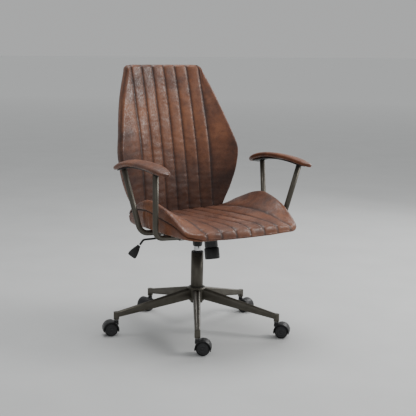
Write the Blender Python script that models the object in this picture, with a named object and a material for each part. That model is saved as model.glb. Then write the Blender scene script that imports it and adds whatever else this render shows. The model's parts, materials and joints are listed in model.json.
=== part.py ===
"""Swivel office chair: five-star base on twin-wheel casters, gas lift, tilt mechanism, padded
seat and back, and two arms with curved pads.

Metres, +Z up, the floor at z = 0. The chair faces -Y and the sitter's right side is -X. The
origin is the middle of the whole chair's box on the floor; every measure below is taken from
the empty chair_origin, which stands on the column's axis.
"""

import math

import bpy
import bmesh
from mathutils import Matrix, Vector

# Clearances
FIT = 0.0003

# Where the column's axis stands, measured from the middle of the chair's box, and how far the
# plane that every height below is taken from lies above the floor
COLUMN_X = 0.0131
COLUMN_Y = 0.0040
DATUM_Z = 0.0035

# Five-star base
BASE_RADIUS = 0.310
LEG_COUNT = 5
FIRST_LEG_DEG = -31.7
LEG_ROOT_R = 0.0262
LEG_ROOT = {"width": 0.029, "top": 0.155, "bottom": 0.115}
LEG_TIP = {"width": 0.019, "top": 0.083, "bottom": 0.064}
LEG_GROOVE = 0.15
SOCKET_R = 0.0105
SOCKET_BOTTOM = 0.056
SOCKET_TOP = 0.0835
STEM_HOLE_R = 0.0060
STEM_HOLE_TOP = 0.079
HUB_BOTTOM = 0.107
HUB_TOP = 0.160
HUB_R = 0.0315
HUB_RIM_R = 0.0350
COLUMN_R = 0.0232
COLUMN_WALL = 0.0027
COLUMN_BOTTOM = 0.100
COLUMN_TOP = 0.292
COLUMN_FLOOR = 0.003
BUSH_TOP = 0.296
BUSH_FOOT = 0.262

# Gas lift
CYLINDER_R = 0.0140
CYLINDER_BORE = 0.0122
CYLINDER_BOTTOM = 0.150
CYLINDER_TOP = 0.352
ROD_R = 0.0050
ROD_HOLE_R = 0.0056
ROD_FOOT = 0.094
PISTON_TOP = 0.272
BUTTON_R = 0.0031
BUTTON_TOP = 0.3567

# Casters
WHEEL_R = 0.0250
WHEEL_SIDES = 24
WHEEL_WIDTH = 0.0170
WHEEL_GAP = 0.0090
CASTER_TRAIL = 0.0210
HOOD_R = 0.0292
HOOD_INNER_R = 0.0261
HOOD_HALF_WIDTH = 0.0230
AXLE_Z = WHEEL_R * math.cos(math.pi / WHEEL_SIDES) - DATUM_Z
STEM_R = 0.0055
AXLE_R = 0.0030
CASTER_YAW_DEG = (-127.8, -134.6, -155.0, 105.0, 70.6)

# Tilt mechanism
TILT_Y = -0.055
TILT_Z = 0.372
PIN_R = 0.0050
HOUSING_HALF_W = 0.048
HOUSING_WALL = 0.003
BOSS_TOP = 0.349
BOSS_BOTTOM = 0.316
KNOB_Y = -0.0892
KNOB_Z = 0.352
KNOB_LEAN_DEG = 12.0
BARREL_R = 0.0245
BARREL_BORE = 0.0210
BARREL_HEAD = -0.0180
BARREL_LENGTH = 0.0240
KNOB_R = 0.0275
KNOB_LENGTH = 0.0420
BOLT_R = 0.0040
LEVER_Z = 0.361
LEVER_R = 0.0040
SLEEVE_X = -0.050
LEVER_BEND_X = -0.232
LEVER_DROP = (-0.65, 0.0, -0.76)
PADDLE_TWIST_DEG = 30.0

# Seat
PLATE_BOTTOM = 0.4002
PLATE_TOP = 0.4035
PAN_BOTTOM = 0.4040
PAN_TOP = 0.4080
SEAT_BOTTOM = 0.4083
SEAT_SKIRT = 0.4000
SEAT_BACK_GAP = 0.0050

# Back
BACK_FOOT_Y = 0.140
BACK_FOOT_Z = 0.433
BACK_LEAN = 0.150
BACK_CURVE = 0.165
BACK_BOTTOM = 0.405
BACK_TOP = 0.9740
BACK_DEPTH = 0.055
BACK_BOARD = 0.010
BACK_FRONT_ROUND = 0.004
BACK_REAR_ROUND = 0.010

# Arms
TUBE_R = 0.0100
TUBE_RUN_X = 0.145
TUBE_RUN_Z = 0.3915
TUBE_BEND = 0.034
FRONT_POST_TOP = (0.3043, -0.2059, 0.6276)
FRONT_POST_FOOT = (0.2708, -0.1532, 0.3975)
REAR_POST_TOP = (0.3029, 0.0190, 0.6196)
REAR_POST_FOOT = (0.2710, -0.0481, 0.3975)
PAD_X = 0.2983
PAD_HALF_WIDTH = 0.0270
PAD_THICKNESS = 0.0200
PAD_ROLL_DEG = 10.0
PAD_FRONT_TAPER = 0.085
PAD_REAR_TAPER = 0.067
PAD_BOARD = 0.0035
PAD_BOARD_HALF_WIDTH = 0.0150


# ---------------------------------------------------------------- materials and objects

def clear_scene():
    for item in list(bpy.data.objects):
        bpy.data.objects.remove(item, do_unlink=True)


def material(name, colour, roughness, metallic):
    found = bpy.data.materials.get(name)
    if found:
        return found
    made = bpy.data.materials.new(name)
    made.use_nodes = True
    shader = made.node_tree.nodes["Principled BSDF"]
    shader.inputs["Base Color"].default_value = (*colour, 1.0)
    shader.inputs["Roughness"].default_value = roughness
    shader.inputs["Metallic"].default_value = metallic
    made.diffuse_color = (*colour, 1.0)
    return made


def bronze():
    return material("bronze_paint", (0.16, 0.145, 0.12), 0.42, 0.7)


def black_plastic():
    return material("black_plastic", (0.012, 0.012, 0.013), 0.4, 0.0)


def black_steel():
    return material("black_steel", (0.02, 0.02, 0.022), 0.35, 0.6)


def chrome():
    return material("chrome", (0.75, 0.76, 0.78), 0.08, 1.0)


def steel():
    return material("zinc_steel", (0.45, 0.45, 0.46), 0.35, 1.0)


def leather():
    return material("brown_leather", (0.22, 0.085, 0.04), 0.5, 0.0)


def plywood():
    return material("plywood", (0.42, 0.30, 0.18), 0.7, 0.0)


def axis_empty(name, place, parent=None, yaw_deg=0.0):
    """An empty on a joint's axis. place is measured from the parent's own axis."""
    empty = bpy.data.objects.new(name, None)
    empty.empty_display_size = 0.03
    empty.location = place
    empty.rotation_euler = (0.0, 0.0, math.radians(yaw_deg))
    empty.parent = parent
    bpy.context.scene.collection.objects.link(empty)
    return empty


def add_object(name, mesh, surface, parent, place=(0.0, 0.0, 0.0), rotation=(0.0, 0.0, 0.0)):
    item = bpy.data.objects.new(name, mesh)
    if not mesh.materials:
        mesh.materials.append(surface)
    item.parent = parent
    item.location = place
    item.rotation_euler = rotation
    bpy.context.scene.collection.objects.link(item)
    return item


def finish_mesh(name, bm, sharp_deg=35.0):
    bmesh.ops.remove_doubles(bm, verts=bm.verts, dist=1e-6)
    bmesh.ops.recalc_face_normals(bm, faces=bm.faces)
    mesh = bpy.data.meshes.new(name)
    bm.to_mesh(mesh)
    bm.free()
    mesh.shade_smooth()
    mesh.set_sharp_from_angle(angle=math.radians(sharp_deg))
    return mesh


def boolean(target, other, operation):
    """Cut other out of target, or join it on; other becomes a guide that isn't built."""
    other.hide_render = True
    other.display_type = "WIRE"
    change = target.modifiers.new(operation.lower(), "BOOLEAN")
    change.operation = operation
    change.solver = "EXACT"
    change.object = other


# ---------------------------------------------------------------- shape helpers

def loft(rings):
    """Skin a list of rings, all with the same number of points, and cap both ends."""
    bm = bmesh.new()
    rows = [[bm.verts.new(point) for point in ring] for ring in rings]
    count = len(rows[0])
    for lower, upper in zip(rows, rows[1:]):
        for i in range(count):
            j = (i + 1) % count
            bm.faces.new((lower[i], lower[j], upper[j], upper[i]))
    bm.faces.new(list(reversed(rows[0])))
    bm.faces.new(rows[-1])
    return bm


def turned(profile, segments, closed_profile=False):
    """Revolve (radius, z) points about Z. A closed profile leaves a hole along the axis."""
    bm = bmesh.new()
    columns = []
    for k in range(segments):
        angle = 2.0 * math.pi * k / segments
        columns.append([(r * math.cos(angle), r * math.sin(angle), z) for r, z in profile])
    rows = []
    for i, (r, z) in enumerate(profile):
        if r == 0.0:
            rows.append([bm.verts.new((0.0, 0.0, z))] * segments)
        else:
            rows.append([bm.verts.new(columns[k][i]) for k in range(segments)])
    pairs = list(zip(rows, rows[1:]))
    if closed_profile:
        pairs.append((rows[-1], rows[0]))
    for first, second in pairs:
        for k in range(segments):
            n = (k + 1) % segments
            corners = [first[k], first[n], second[n], second[k]]
            unique = list(dict.fromkeys(corners))
            if len(unique) >= 3:
                bm.faces.new(unique)
    return bm


def sweep(points, radius, sides):
    """A round bar along a path, its rings carried along without twisting."""
    path = [Vector(p) for p in points]
    rings = []
    normal = None
    for i, point in enumerate(path):
        ahead = path[min(i + 1, len(path) - 1)] - path[max(i - 1, 0)]
        tangent = ahead.normalized()
        if normal is None:
            seed = Vector((0.0, 1.0, 0.0)) if abs(tangent.y) < 0.9 else Vector((1.0, 0.0, 0.0))
            normal = tangent.cross(seed).normalized()
        normal = (normal - tangent * normal.dot(tangent)).normalized()
        side = tangent.cross(normal)
        rings.append([
            point + (normal * math.cos(a) + side * math.sin(a)) * radius
            for a in (2.0 * math.pi * k / sides for k in range(sides))
        ])
    return loft(rings)


def rounded_path(corners, radius, steps):
    """Straight runs through the corners, each inner corner turned with an arc."""
    points = [Vector(corners[0])]
    for before, corner, after in zip(corners, corners[1:], corners[2:]):
        corner = Vector(corner)
        inward = (Vector(before) - corner).normalized()
        outward = (Vector(after) - corner).normalized()
        half = inward.angle(outward) / 2.0
        reach = radius / math.tan(half)
        centre = corner + (inward + outward).normalized() * radius / math.sin(half)
        start = (corner + inward * reach - centre).normalized()
        end = (corner + outward * reach - centre).normalized()
        for k in range(steps + 1):
            points.append(centre + start.slerp(end, k / steps) * radius)
    points.append(Vector(corners[-1]))
    return points


def prism(outline, low, high, axis):
    """Extrude an outline of two coordinates along axis X, Y or Z, from low to high."""
    order = {"X": (2, 0, 1), "Y": (0, 2, 1), "Z": (0, 1, 2)}[axis]

    def place(point, along):
        raw = (point[0], point[1], along)
        return tuple(raw[order[k]] for k in range(3))

    return loft([[place(p, low) for p in outline], [place(p, high) for p in outline]])


def box(low, high):
    outline = [(low[0], low[1]), (high[0], low[1]), (high[0], high[1]), (low[0], high[1])]
    return prism(outline, low[2], high[2], "Z")


def bar_between(start, end, radius, segments):
    """A plain round bar from one point to another."""
    return sweep([start, end], radius, segments)


def turn_to(bm, direction, place):
    """Carry a shape turned about Z so that its +Z points along direction."""
    turn = Vector((0.0, 0.0, 1.0)).rotation_difference(Vector(direction)).to_matrix().to_4x4()
    bm.transform(Matrix.Translation(place) @ turn)
    return bm


def smooth_table(points, at):
    """Read a smooth curve through (position, value) points, level with the table at its ends."""
    if at <= points[0][0]:
        return points[0][1]
    for k in range(len(points) - 1):
        (a, va), (b, vb) = points[k], points[k + 1]
        if at <= b:
            before = points[max(k - 1, 0)]
            after = points[min(k + 2, len(points) - 1)]
            slope_a = (vb - before[1]) / (b - before[0])
            slope_b = (after[1] - va) / (after[0] - a)
            span = b - a
            t = (at - a) / span
            return (
                va * (2 * t**3 - 3 * t**2 + 1)
                + slope_a * span * (t**3 - 2 * t**2 + t)
                + vb * (3 * t**2 - 2 * t**3)
                + slope_b * span * (t**3 - t**2)
            )
    return points[-1][1]


def carved(name, base, joins=(), cuts=()):
    """Join solids onto a base solid, then cut others out of it, as one plain mesh."""
    made = []

    def temporary(bm):
        item = bpy.data.objects.new(name + "_tool", finish_mesh(name + "_tool", bm))
        bpy.context.scene.collection.objects.link(item)
        made.append(item)
        return item

    body = temporary(base)
    for bm in joins:
        boolean(body, temporary(bm), "UNION")
    for bm in cuts:
        boolean(body, temporary(bm), "DIFFERENCE")
    graph = bpy.context.evaluated_depsgraph_get()
    mesh = bpy.data.meshes.new_from_object(body.evaluated_get(graph))
    mesh.name = name
    for item in made:
        bpy.data.objects.remove(item, do_unlink=True)
    bm = bmesh.new()
    bm.from_mesh(mesh)
    bmesh.ops.remove_doubles(bm, verts=bm.verts, dist=2e-5)
    bmesh.ops.dissolve_degenerate(bm, edges=bm.edges, dist=2e-5)
    bmesh.ops.triangulate(bm, faces=bm.faces)
    bm.to_mesh(mesh)
    bm.free()
    mesh.materials.clear()
    mesh.shade_smooth()
    mesh.set_sharp_from_angle(angle=math.radians(35.0))
    return mesh


class Axis:
    """An empty on a joint's axis, with its place measured from the column's axis."""

    def __init__(self, name, place, parent=None):
        self.place = Vector(place)
        here = self.place - parent.place if parent else self.place
        self.empty = axis_empty(name, here, parent.empty if parent else None)

    def add(self, name, shape, surface):
        """Put a shape drawn in the chair's own coordinates on this axis."""
        mesh = finish_mesh(name, shape) if isinstance(shape, bmesh.types.BMesh) else shape
        mesh.transform(Matrix.Translation(-self.place))
        return add_object(name, mesh, surface, self.empty)


# ---------------------------------------------------------------- five-star base

def leg_section(x, width, bottom, top):
    """Pressed-steel leg section across its run: two soft ridges and a groove between them."""
    half = width / 2.0
    height = top - bottom
    right = [
        (half * 0.86, bottom),
        (half, bottom + 0.15 * height),
        (half, top - 0.34 * height),
        (half * 0.86, top - 0.10 * height),
        (half * 0.55, top),
        (half * 0.24, top - LEG_GROOVE * 0.35 * height),
        (0.0, top - LEG_GROOVE * height),
    ]
    left = [(-y, z) for y, z in reversed(right[:-1])]
    return [(x, y, z) for y, z in right + left]


def base_leg_mesh():
    """One leg along +X from the hub pocket to the caster socket."""
    rings = []
    for t in (0.0, 0.5, 1.0):
        x = LEG_ROOT_R + t * (BASE_RADIUS - LEG_ROOT_R)
        width, bottom, top = (
            LEG_ROOT[key] + t * (LEG_TIP[key] - LEG_ROOT[key])
            for key in ("width", "bottom", "top")
        )
        rings.append(leg_section(x, width, bottom, top))
    socket = turned(
        [(0.0, SOCKET_BOTTOM), (SOCKET_R, SOCKET_BOTTOM), (SOCKET_R, SOCKET_TOP), (0.0, SOCKET_TOP)], 20
    )
    low, high = SOCKET_BOTTOM - 0.01, STEM_HOLE_TOP
    hole = turned([(0.0, low), (STEM_HOLE_R, low), (STEM_HOLE_R, high), (0.0, high)], 20)
    for bm in (socket, hole):
        bm.transform(Matrix.Translation((BASE_RADIUS, 0.0, 0.0)))
    return carved("base_leg", loft(rings), [socket], [hole])


def leg_angle(number):
    """Direction of a leg about the column, counted from +X."""
    return math.radians(FIRST_LEG_DEG + 360.0 / LEG_COUNT * number - 90.0)


def hub_mesh():
    """Hub with a chamfered rim, the column's bore, and an arched pocket for each leg."""
    bore = COLUMN_R + FIT
    profile = [
        (bore, HUB_BOTTOM),
        (HUB_R - 0.0035, HUB_BOTTOM),
        (HUB_R - 0.0010, HUB_BOTTOM + 0.004),
        (HUB_R, HUB_TOP - 0.013),
        (HUB_RIM_R - 0.0006, HUB_TOP - 0.008),
        (HUB_RIM_R, HUB_TOP - 0.004),
        (HUB_RIM_R - 0.0040, HUB_TOP),
        (bore + 0.0020, HUB_TOP),
        (bore, HUB_TOP - 0.002),
    ]
    pockets = []
    grown = LEG_ROOT["width"] + 2.0 * FIT
    for number in range(LEG_COUNT):
        low = leg_section(LEG_ROOT_R - FIT, grown, LEG_ROOT["bottom"] - 0.0008, LEG_ROOT["top"] + 0.0008)
        far = leg_section(0.045, grown, LEG_ROOT["bottom"] - 0.0034, LEG_ROOT["top"] - 0.0010)
        pocket = loft([low, far])
        pocket.transform(Matrix.Rotation(leg_angle(number), 4, "Z"))
        pockets.append(pocket)
    return carved("base_hub", turned(profile, 30, closed_profile=True), cuts=pockets)


def build_base(ground):
    ground.add("base_hub", hub_mesh(), bronze())
    leg = base_leg_mesh()
    for number in range(LEG_COUNT):
        add_object(
            f"base_leg_{number + 1}", leg, bronze(), ground.empty, rotation=(0.0, 0.0, leg_angle(number))
        )
    inner = COLUMN_R - COLUMN_WALL
    column = [
        (ROD_HOLE_R, COLUMN_BOTTOM),
        (COLUMN_R, COLUMN_BOTTOM),
        (COLUMN_R, COLUMN_TOP),
        (inner, COLUMN_TOP),
        (inner, COLUMN_BOTTOM + COLUMN_FLOOR),
        (ROD_HOLE_R, COLUMN_BOTTOM + COLUMN_FLOOR),
    ]
    ground.add("column_tube", turned(column, 36, closed_profile=True), bronze())
    guide = CYLINDER_R + FIT
    bush = [
        (guide, BUSH_FOOT),
        (inner - FIT, BUSH_FOOT),
        (inner - FIT, COLUMN_TOP + FIT),
        (COLUMN_R - 0.0004, COLUMN_TOP + FIT),
        (COLUMN_R - 0.0010, BUSH_TOP),
        (guide, BUSH_TOP),
    ]
    ground.add("column_bush", turned(bush, 32, closed_profile=True), black_plastic())
    floor = COLUMN_BOTTOM + COLUMN_FLOOR + FIT
    bearing = [
        (ROD_HOLE_R, floor),
        (0.0140, floor),
        (0.0140, floor + 0.0018),
        (0.0125, floor + 0.0032),
        (0.0140, floor + 0.0046),
        (0.0140, floor + 0.0064),
        (ROD_HOLE_R, floor + 0.0064),
    ]
    ground.add("thrust_bearing", turned(bearing, 24, closed_profile=True), steel())


# ---------------------------------------------------------------- casters

def wheel_mesh():
    """One wheel of the pair about X, standing on a flat of its tread, with a blind axle hole."""
    hole = AXLE_R + 0.0004
    face = WHEEL_GAP / 2.0 + WHEEL_WIDTH
    inside = WHEEL_GAP / 2.0
    profile = [
        (0.0, face - 0.0004),
        (WHEEL_R - 0.0050, face),
        (WHEEL_R - 0.0016, face - 0.0012),
        (WHEEL_R, face - 0.0045),
        (WHEEL_R, inside + 0.0015),
        (WHEEL_R - 0.0015, inside),
        (hole, inside),
        (hole, inside + 0.0130),
        (0.0, inside + 0.0130),
    ]
    bm = turned(profile, WHEEL_SIDES)
    bm.transform(Matrix.Rotation(math.pi / WHEEL_SIDES, 4, "Z"))
    bm.transform(Matrix.Rotation(math.radians(90.0), 4, "Y"))
    return finish_mesh("caster_wheel", bm)


def hood_mesh():
    """Hood over both wheels with a thin web between them, and the neck that holds the stem."""
    centre = Vector((0.0, CASTER_TRAIL, AXLE_Z))
    outline = []
    for k in range(15):
        angle = math.radians(-14.0 + 208.0 * k / 14)
        outline.append((centre.y + HOOD_R * math.cos(angle), centre.z + HOOD_R * math.sin(angle)))
    shell = prism(outline, -HOOD_HALF_WIDTH, HOOD_HALF_WIDTH, "X")
    neck = turned([(0.0, 0.036), (0.0092, 0.036), (0.0080, 0.0535), (0.0, 0.0535)], 16)
    cuts = []
    for side in (-1.0, 1.0):
        ends = sorted((side * 0.003, side * 0.030))
        space = turned(
            [(0.0, ends[0]), (HOOD_INNER_R, ends[0]), (HOOD_INNER_R, ends[1]), (0.0, ends[1])], 24
        )
        space.transform(Matrix.Translation(centre) @ Matrix.Rotation(math.radians(90.0), 4, "Y"))
        cuts.append(space)
    cuts.append(bar_between((-0.01, *centre.yz), (0.01, *centre.yz), AXLE_R + FIT, 12))
    cuts.append(turned([(0.0, 0.0475), (STEM_R + FIT, 0.0475), (STEM_R + FIT, 0.06), (0.0, 0.06)], 16))
    return carved("caster_hood", shell, [neck], cuts)


def stem_mesh():
    """Steel stem with a grip ring that snaps into the leg's socket."""
    profile = [
        (0.0, 0.0478),
        (STEM_R, 0.0478),
        (STEM_R, 0.0700),
        (STEM_R - 0.0010, 0.0708),
        (STEM_R - 0.0010, 0.0722),
        (STEM_R, 0.0730),
        (STEM_R - 0.0010, 0.0782),
        (0.0, 0.0786),
    ]
    return finish_mesh("caster_stem", turned(profile, 16))


def build_casters(ground):
    """Each caster swivels about its stem; its two wheels turn on one axle, each on its own."""
    hood = hood_mesh()
    stem = stem_mesh()
    wheel = wheel_mesh()
    half_axle = WHEEL_GAP / 2.0 + 0.0120
    axle = finish_mesh("caster_axle", bar_between((-half_axle, 0.0, 0.0), (half_axle, 0.0, 0.0), AXLE_R, 12))
    for number in range(LEG_COUNT):
        angle = leg_angle(number)
        place = (BASE_RADIUS * math.cos(angle), BASE_RADIUS * math.sin(angle), 0.0)
        label = f"caster_{number + 1}"
        swivel = axis_empty(label + "_swivel_axis", place, ground.empty, CASTER_YAW_DEG[number])
        add_object(label + "_hood", hood, black_plastic(), swivel)
        add_object(label + "_stem", stem, steel(), swivel)
        roll = axis_empty(label + "_roll_axis", (0.0, CASTER_TRAIL, AXLE_Z), swivel)
        add_object(label + "_axle", axle, steel(), roll)
        add_object(label + "_wheel_a", wheel, black_plastic(), roll)
        add_object(label + "_wheel_b", wheel, black_plastic(), roll, rotation=(0.0, 0.0, math.pi))


# ---------------------------------------------------------------- gas lift

def build_lift(swivel, lift):
    rod = [
        (0.0, ROD_FOOT),
        (0.0085, ROD_FOOT),
        (0.0085, COLUMN_BOTTOM - FIT),
        (ROD_R, COLUMN_BOTTOM - FIT),
        (ROD_R, PISTON_TOP - 0.010),
        (CYLINDER_BORE - 0.0004, PISTON_TOP - 0.010),
        (CYLINDER_BORE - 0.0004, PISTON_TOP),
        (0.0, PISTON_TOP),
    ]
    swivel.add("piston_rod", turned(rod, 20), steel())
    cylinder = [
        (BUTTON_R + 0.0004, CYLINDER_TOP),
        (CYLINDER_R - 0.0006, CYLINDER_TOP),
        (CYLINDER_R, CYLINDER_TOP - 0.022),
        (CYLINDER_R, CYLINDER_BOTTOM),
        (ROD_HOLE_R, CYLINDER_BOTTOM),
        (ROD_HOLE_R, CYLINDER_BOTTOM + 0.003),
        (CYLINDER_BORE, CYLINDER_BOTTOM + 0.003),
        (CYLINDER_BORE, CYLINDER_TOP - 0.007),
        (BUTTON_R + 0.0004, CYLINDER_TOP - 0.007),
    ]
    lift.add("gas_cylinder", turned(cylinder, 32, closed_profile=True), chrome())
    button = [(0.0, 0.344), (BUTTON_R, 0.344), (BUTTON_R, BUTTON_TOP - 0.0005), (0.0, BUTTON_TOP)]
    lift.add("release_button", turned(button, 14), steel())


# ---------------------------------------------------------------- tilt mechanism

def knob_direction():
    lean = math.radians(KNOB_LEAN_DEG)
    return Vector((0.0, -math.sin(lean), -math.cos(lean)))


def on_knob_axis(profile, segments, closed_profile=False):
    """Turn a profile about the tension bolt; its z runs down the bolt from the housing."""
    bm = turned(profile, segments, closed_profile)
    return turn_to(bm, knob_direction(), (0.0, KNOB_Y, KNOB_Z))


def housing_mesh():
    """Folded steel tub with the cylinder's tapered boss and the open-ended spring barrel."""
    wall = HOUSING_WALL
    front, rear, step = -0.118, 0.052, -0.030
    floor, nose = 0.3475, 0.3655
    outer = [(front, nose), (front, 0.386), (-0.040, 0.389), (rear, 0.375), (rear, floor), (step, floor)]
    inner = [
        (front + wall, nose + wall), (front + wall, 0.400), (rear - wall, 0.400),
        (rear - wall, floor + wall), (step, floor + wall),
    ]
    tub = prism(outer, -HOUSING_HALF_W, HOUSING_HALF_W, "X")
    inside = prism(inner, wall - HOUSING_HALF_W, HOUSING_HALF_W - wall, "X")
    boss = turned([(0.0, BOSS_BOTTOM), (0.0170, BOSS_BOTTOM), (0.0215, BOSS_TOP), (0.0, BOSS_TOP)], 28)
    barrel = on_knob_axis(
        [(0.0, BARREL_HEAD), (BARREL_R, BARREL_HEAD), (BARREL_R, BARREL_LENGTH), (0.0, BARREL_LENGTH)], 28
    )
    roof = BARREL_HEAD + 0.004
    shank = BOLT_R + 0.0006
    bore = CYLINDER_R + FIT
    cuts = [
        turned([(0.0, 0.300), (bore, 0.300), (bore, 0.3995), (0.0, 0.3995)], 32),
        on_knob_axis([(0.0, roof), (BARREL_BORE, roof), (BARREL_BORE, 0.04), (0.0, 0.04)], 28),
        on_knob_axis([(0.0, -0.04), (shank, -0.04), (shank, 0.01), (0.0, 0.01)], 14),
        bar_between((-0.07, TILT_Y, TILT_Z), (0.07, TILT_Y, TILT_Z), PIN_R + FIT, 20),
        bar_between((-0.07, 0.0, LEVER_Z), (-0.03, 0.0, LEVER_Z), 0.0092, 20),
    ]
    joined = carved("tub", tub, cuts=[inside])
    shell = bmesh.new()
    shell.from_mesh(joined)
    return carved("tilt_housing", shell, [boss, barrel], cuts)


def spring_mesh():
    """Torsion spring round the pivot pin, its last turn ending in a straight leg."""
    turns, steps, radius, wire = 6, 10, 0.0084, 0.0014
    reach = 0.030
    points = []
    for k in range(turns * steps + 1):
        angle = 2.0 * math.pi * k / steps
        x = -reach + 2.0 * reach * k / (turns * steps)
        points.append((x, TILT_Y + radius * math.cos(angle), TILT_Z + radius * math.sin(angle)))
    points.append((reach, TILT_Y + radius, TILT_Z - 0.0090))
    return sweep(points, wire, 5)


def build_mechanism(lift, lever_slide, lever, knob, tilt):
    lift.add("tilt_housing", housing_mesh(), black_steel())
    pin = [
        (0.0, -0.0575), (0.0080, -0.0575), (0.0080, -0.0540), (PIN_R, -0.0540),
        (PIN_R, 0.0540), (0.0080, 0.0540), (0.0080, 0.0575), (0.0, 0.0575),
    ]
    lift.add("tilt_pivot_pin", turn_to(turned(pin, 20), (1.0, 0.0, 0.0), (0.0, TILT_Y, TILT_Z)), steel())
    lift.add("torsion_spring", spring_mesh(), steel())

    plate = box((-0.090, -0.135, PLATE_BOTTOM), (0.090, 0.100, PLATE_TOP))
    ear_outline = [
        (TILT_Y - 0.026, PLATE_BOTTOM + 0.001), (TILT_Y - 0.012, TILT_Z - 0.012),
        (TILT_Y + 0.012, TILT_Z - 0.012), (TILT_Y + 0.026, PLATE_BOTTOM + 0.001),
    ]
    ears = [prism(ear_outline, low, low + 0.003, "X") for low in (-0.0525, 0.0495)]
    hole = bar_between((-0.07, TILT_Y, TILT_Z), (0.07, TILT_Y, TILT_Z), PIN_R + FIT, 20)
    tilt.add("seat_plate", carved("seat_plate", plate, ears, [hole]), black_steel())

    sleeve = [(0.0056, -0.007), (0.0088, -0.007), (0.0088, 0.012), (0.0056, 0.012)]
    bushing = turn_to(turned(sleeve, 20, closed_profile=True), (1.0, 0.0, 0.0), (SLEEVE_X, 0.0, LEVER_Z))
    lever_slide.add("lever_sleeve", bushing, black_plastic())
    bend = Vector((LEVER_BEND_X, 0.0, LEVER_Z))
    rod_path = rounded_path([(0.004, 0.0, LEVER_Z), bend, bend + 0.0222 * Vector(LEVER_DROP)], 0.012, 4)
    lever.add("lever_rod", sweep(rod_path, LEVER_R, 10), black_steel())
    lever.add("lever_paddle", paddle_shape(), black_plastic())

    top = BARREL_LENGTH + 0.0010
    grip = [(BOLT_R + FIT, top), (KNOB_R - 0.0025, top), (KNOB_R, top + 0.004)]
    grip += [(KNOB_R, top + KNOB_LENGTH - 0.003), (KNOB_R - 0.0015, top + KNOB_LENGTH)]
    grip += [(BOLT_R + FIT, top + KNOB_LENGTH)]
    knob.add("tension_knob", on_knob_axis(grip, 14, closed_profile=True), black_plastic())
    seat_of_head = BARREL_HEAD - FIT
    bolt = [(0.0, seat_of_head - 0.004), (0.0070, seat_of_head - 0.004), (0.0070, seat_of_head)]
    bolt += [(BOLT_R, seat_of_head)]
    bolt += [(BOLT_R, top + KNOB_LENGTH - 0.002), (0.0, top + KNOB_LENGTH - 0.002)]
    knob.add("tension_bolt", on_knob_axis(bolt, 12), steel())
    nut = [(BOLT_R + 0.0005, 0.014), (0.0195, 0.014), (0.0195, 0.018), (BOLT_R + 0.0005, 0.018)]
    lift.add("preload_nut", on_knob_axis(nut, 20, closed_profile=True), steel())


def paddle_shape():
    """Lever handle: a narrow collar on the rod that widens into a flat faceted paddle."""
    along = Vector(LEVER_DROP).normalized()
    start = Vector((LEVER_BEND_X, 0.0, LEVER_Z)) + 0.0225 * along
    twist = Matrix.Rotation(math.radians(PADDLE_TWIST_DEG), 3, along)
    across = twist @ along.cross(Vector((0.0, 1.0, 0.0)))
    thick = along.cross(across)
    rings = []
    for distance, half_width, half_thick in (
        (0.0, 0.0062, 0.0050), (0.010, 0.0085, 0.0060), (0.026, 0.0130, 0.0066), (0.048, 0.0158, 0.0056)
    ):
        centre = start + along * distance
        outline = ((1, 0.5), (0.6, 1), (-0.6, 1), (-1, 0.5), (-1, -0.5), (-0.6, -1), (0.6, -1), (1, -0.5))
        rings.append([centre + across * (a * half_width) + thick * (b * half_thick) for a, b in outline])
    return loft(rings)


# ---------------------------------------------------------------- seat

SEAT_HALF_WIDTH = (
    (-0.342, 0.200), (-0.300, 0.225), (-0.270, 0.236), (-0.165, 0.245), (-0.055, 0.2505),
    (0.030, 0.240), (0.112, 0.228), (0.130, 0.222),
)
SEAT_EDGE_Z = (
    (-0.342, 0.424), (-0.325, 0.430), (-0.285, 0.436), (-0.225, 0.470), (-0.165, 0.496),
    (-0.055, 0.5125), (0.065, 0.473), (0.130, 0.440),
)
SEAT_MIDDLE_Z = ((-0.342, 0.424), (-0.325, 0.441), (-0.270, 0.447), (-0.100, 0.441), (0.140, 0.433))
SEAT_FRONT = (
    (0.0, -0.342), (0.185, -0.333), (0.205, -0.322), (0.225, -0.298), (0.236, -0.265),
    (0.245, -0.165), (0.2495, -0.085),
)
SEAT_REAR_CORNER = (
    (0.196, 0.112), (0.204, 0.124), (0.218, 0.126), (0.227, 0.112), (0.240, 0.040), (0.2495, -0.030),
)
SEAT_COLUMNS = (0.0, 0.050, 0.100, 0.145, 0.180, 0.196, 0.207, 0.218, 0.227, 0.236, 0.244, 0.2495)
SEAT_ROWS = (0.02, 0.06, 0.15, 0.28, 0.42, 0.56, 0.70, 0.84, 0.97)


def seat_top(x, y):
    """Height of the seat's top: a shallow valley between the two raised side wings."""
    middle = smooth_table(SEAT_MIDDLE_Z, y)
    edge = smooth_table(SEAT_EDGE_Z, y)
    u = min(abs(x) / smooth_table(SEAT_HALF_WIDTH, y), 1.0)
    return middle + (edge - middle) * u**3


def seat_rear(x):
    """Y of the seat's rear edge, which stays in front of the wrapped back."""
    reach = abs(x)
    if reach <= SEAT_REAR_CORNER[0][0]:
        return back_front(reach, 0.412) - SEAT_BACK_GAP
    return smooth_table(SEAT_REAR_CORNER, reach)


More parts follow.
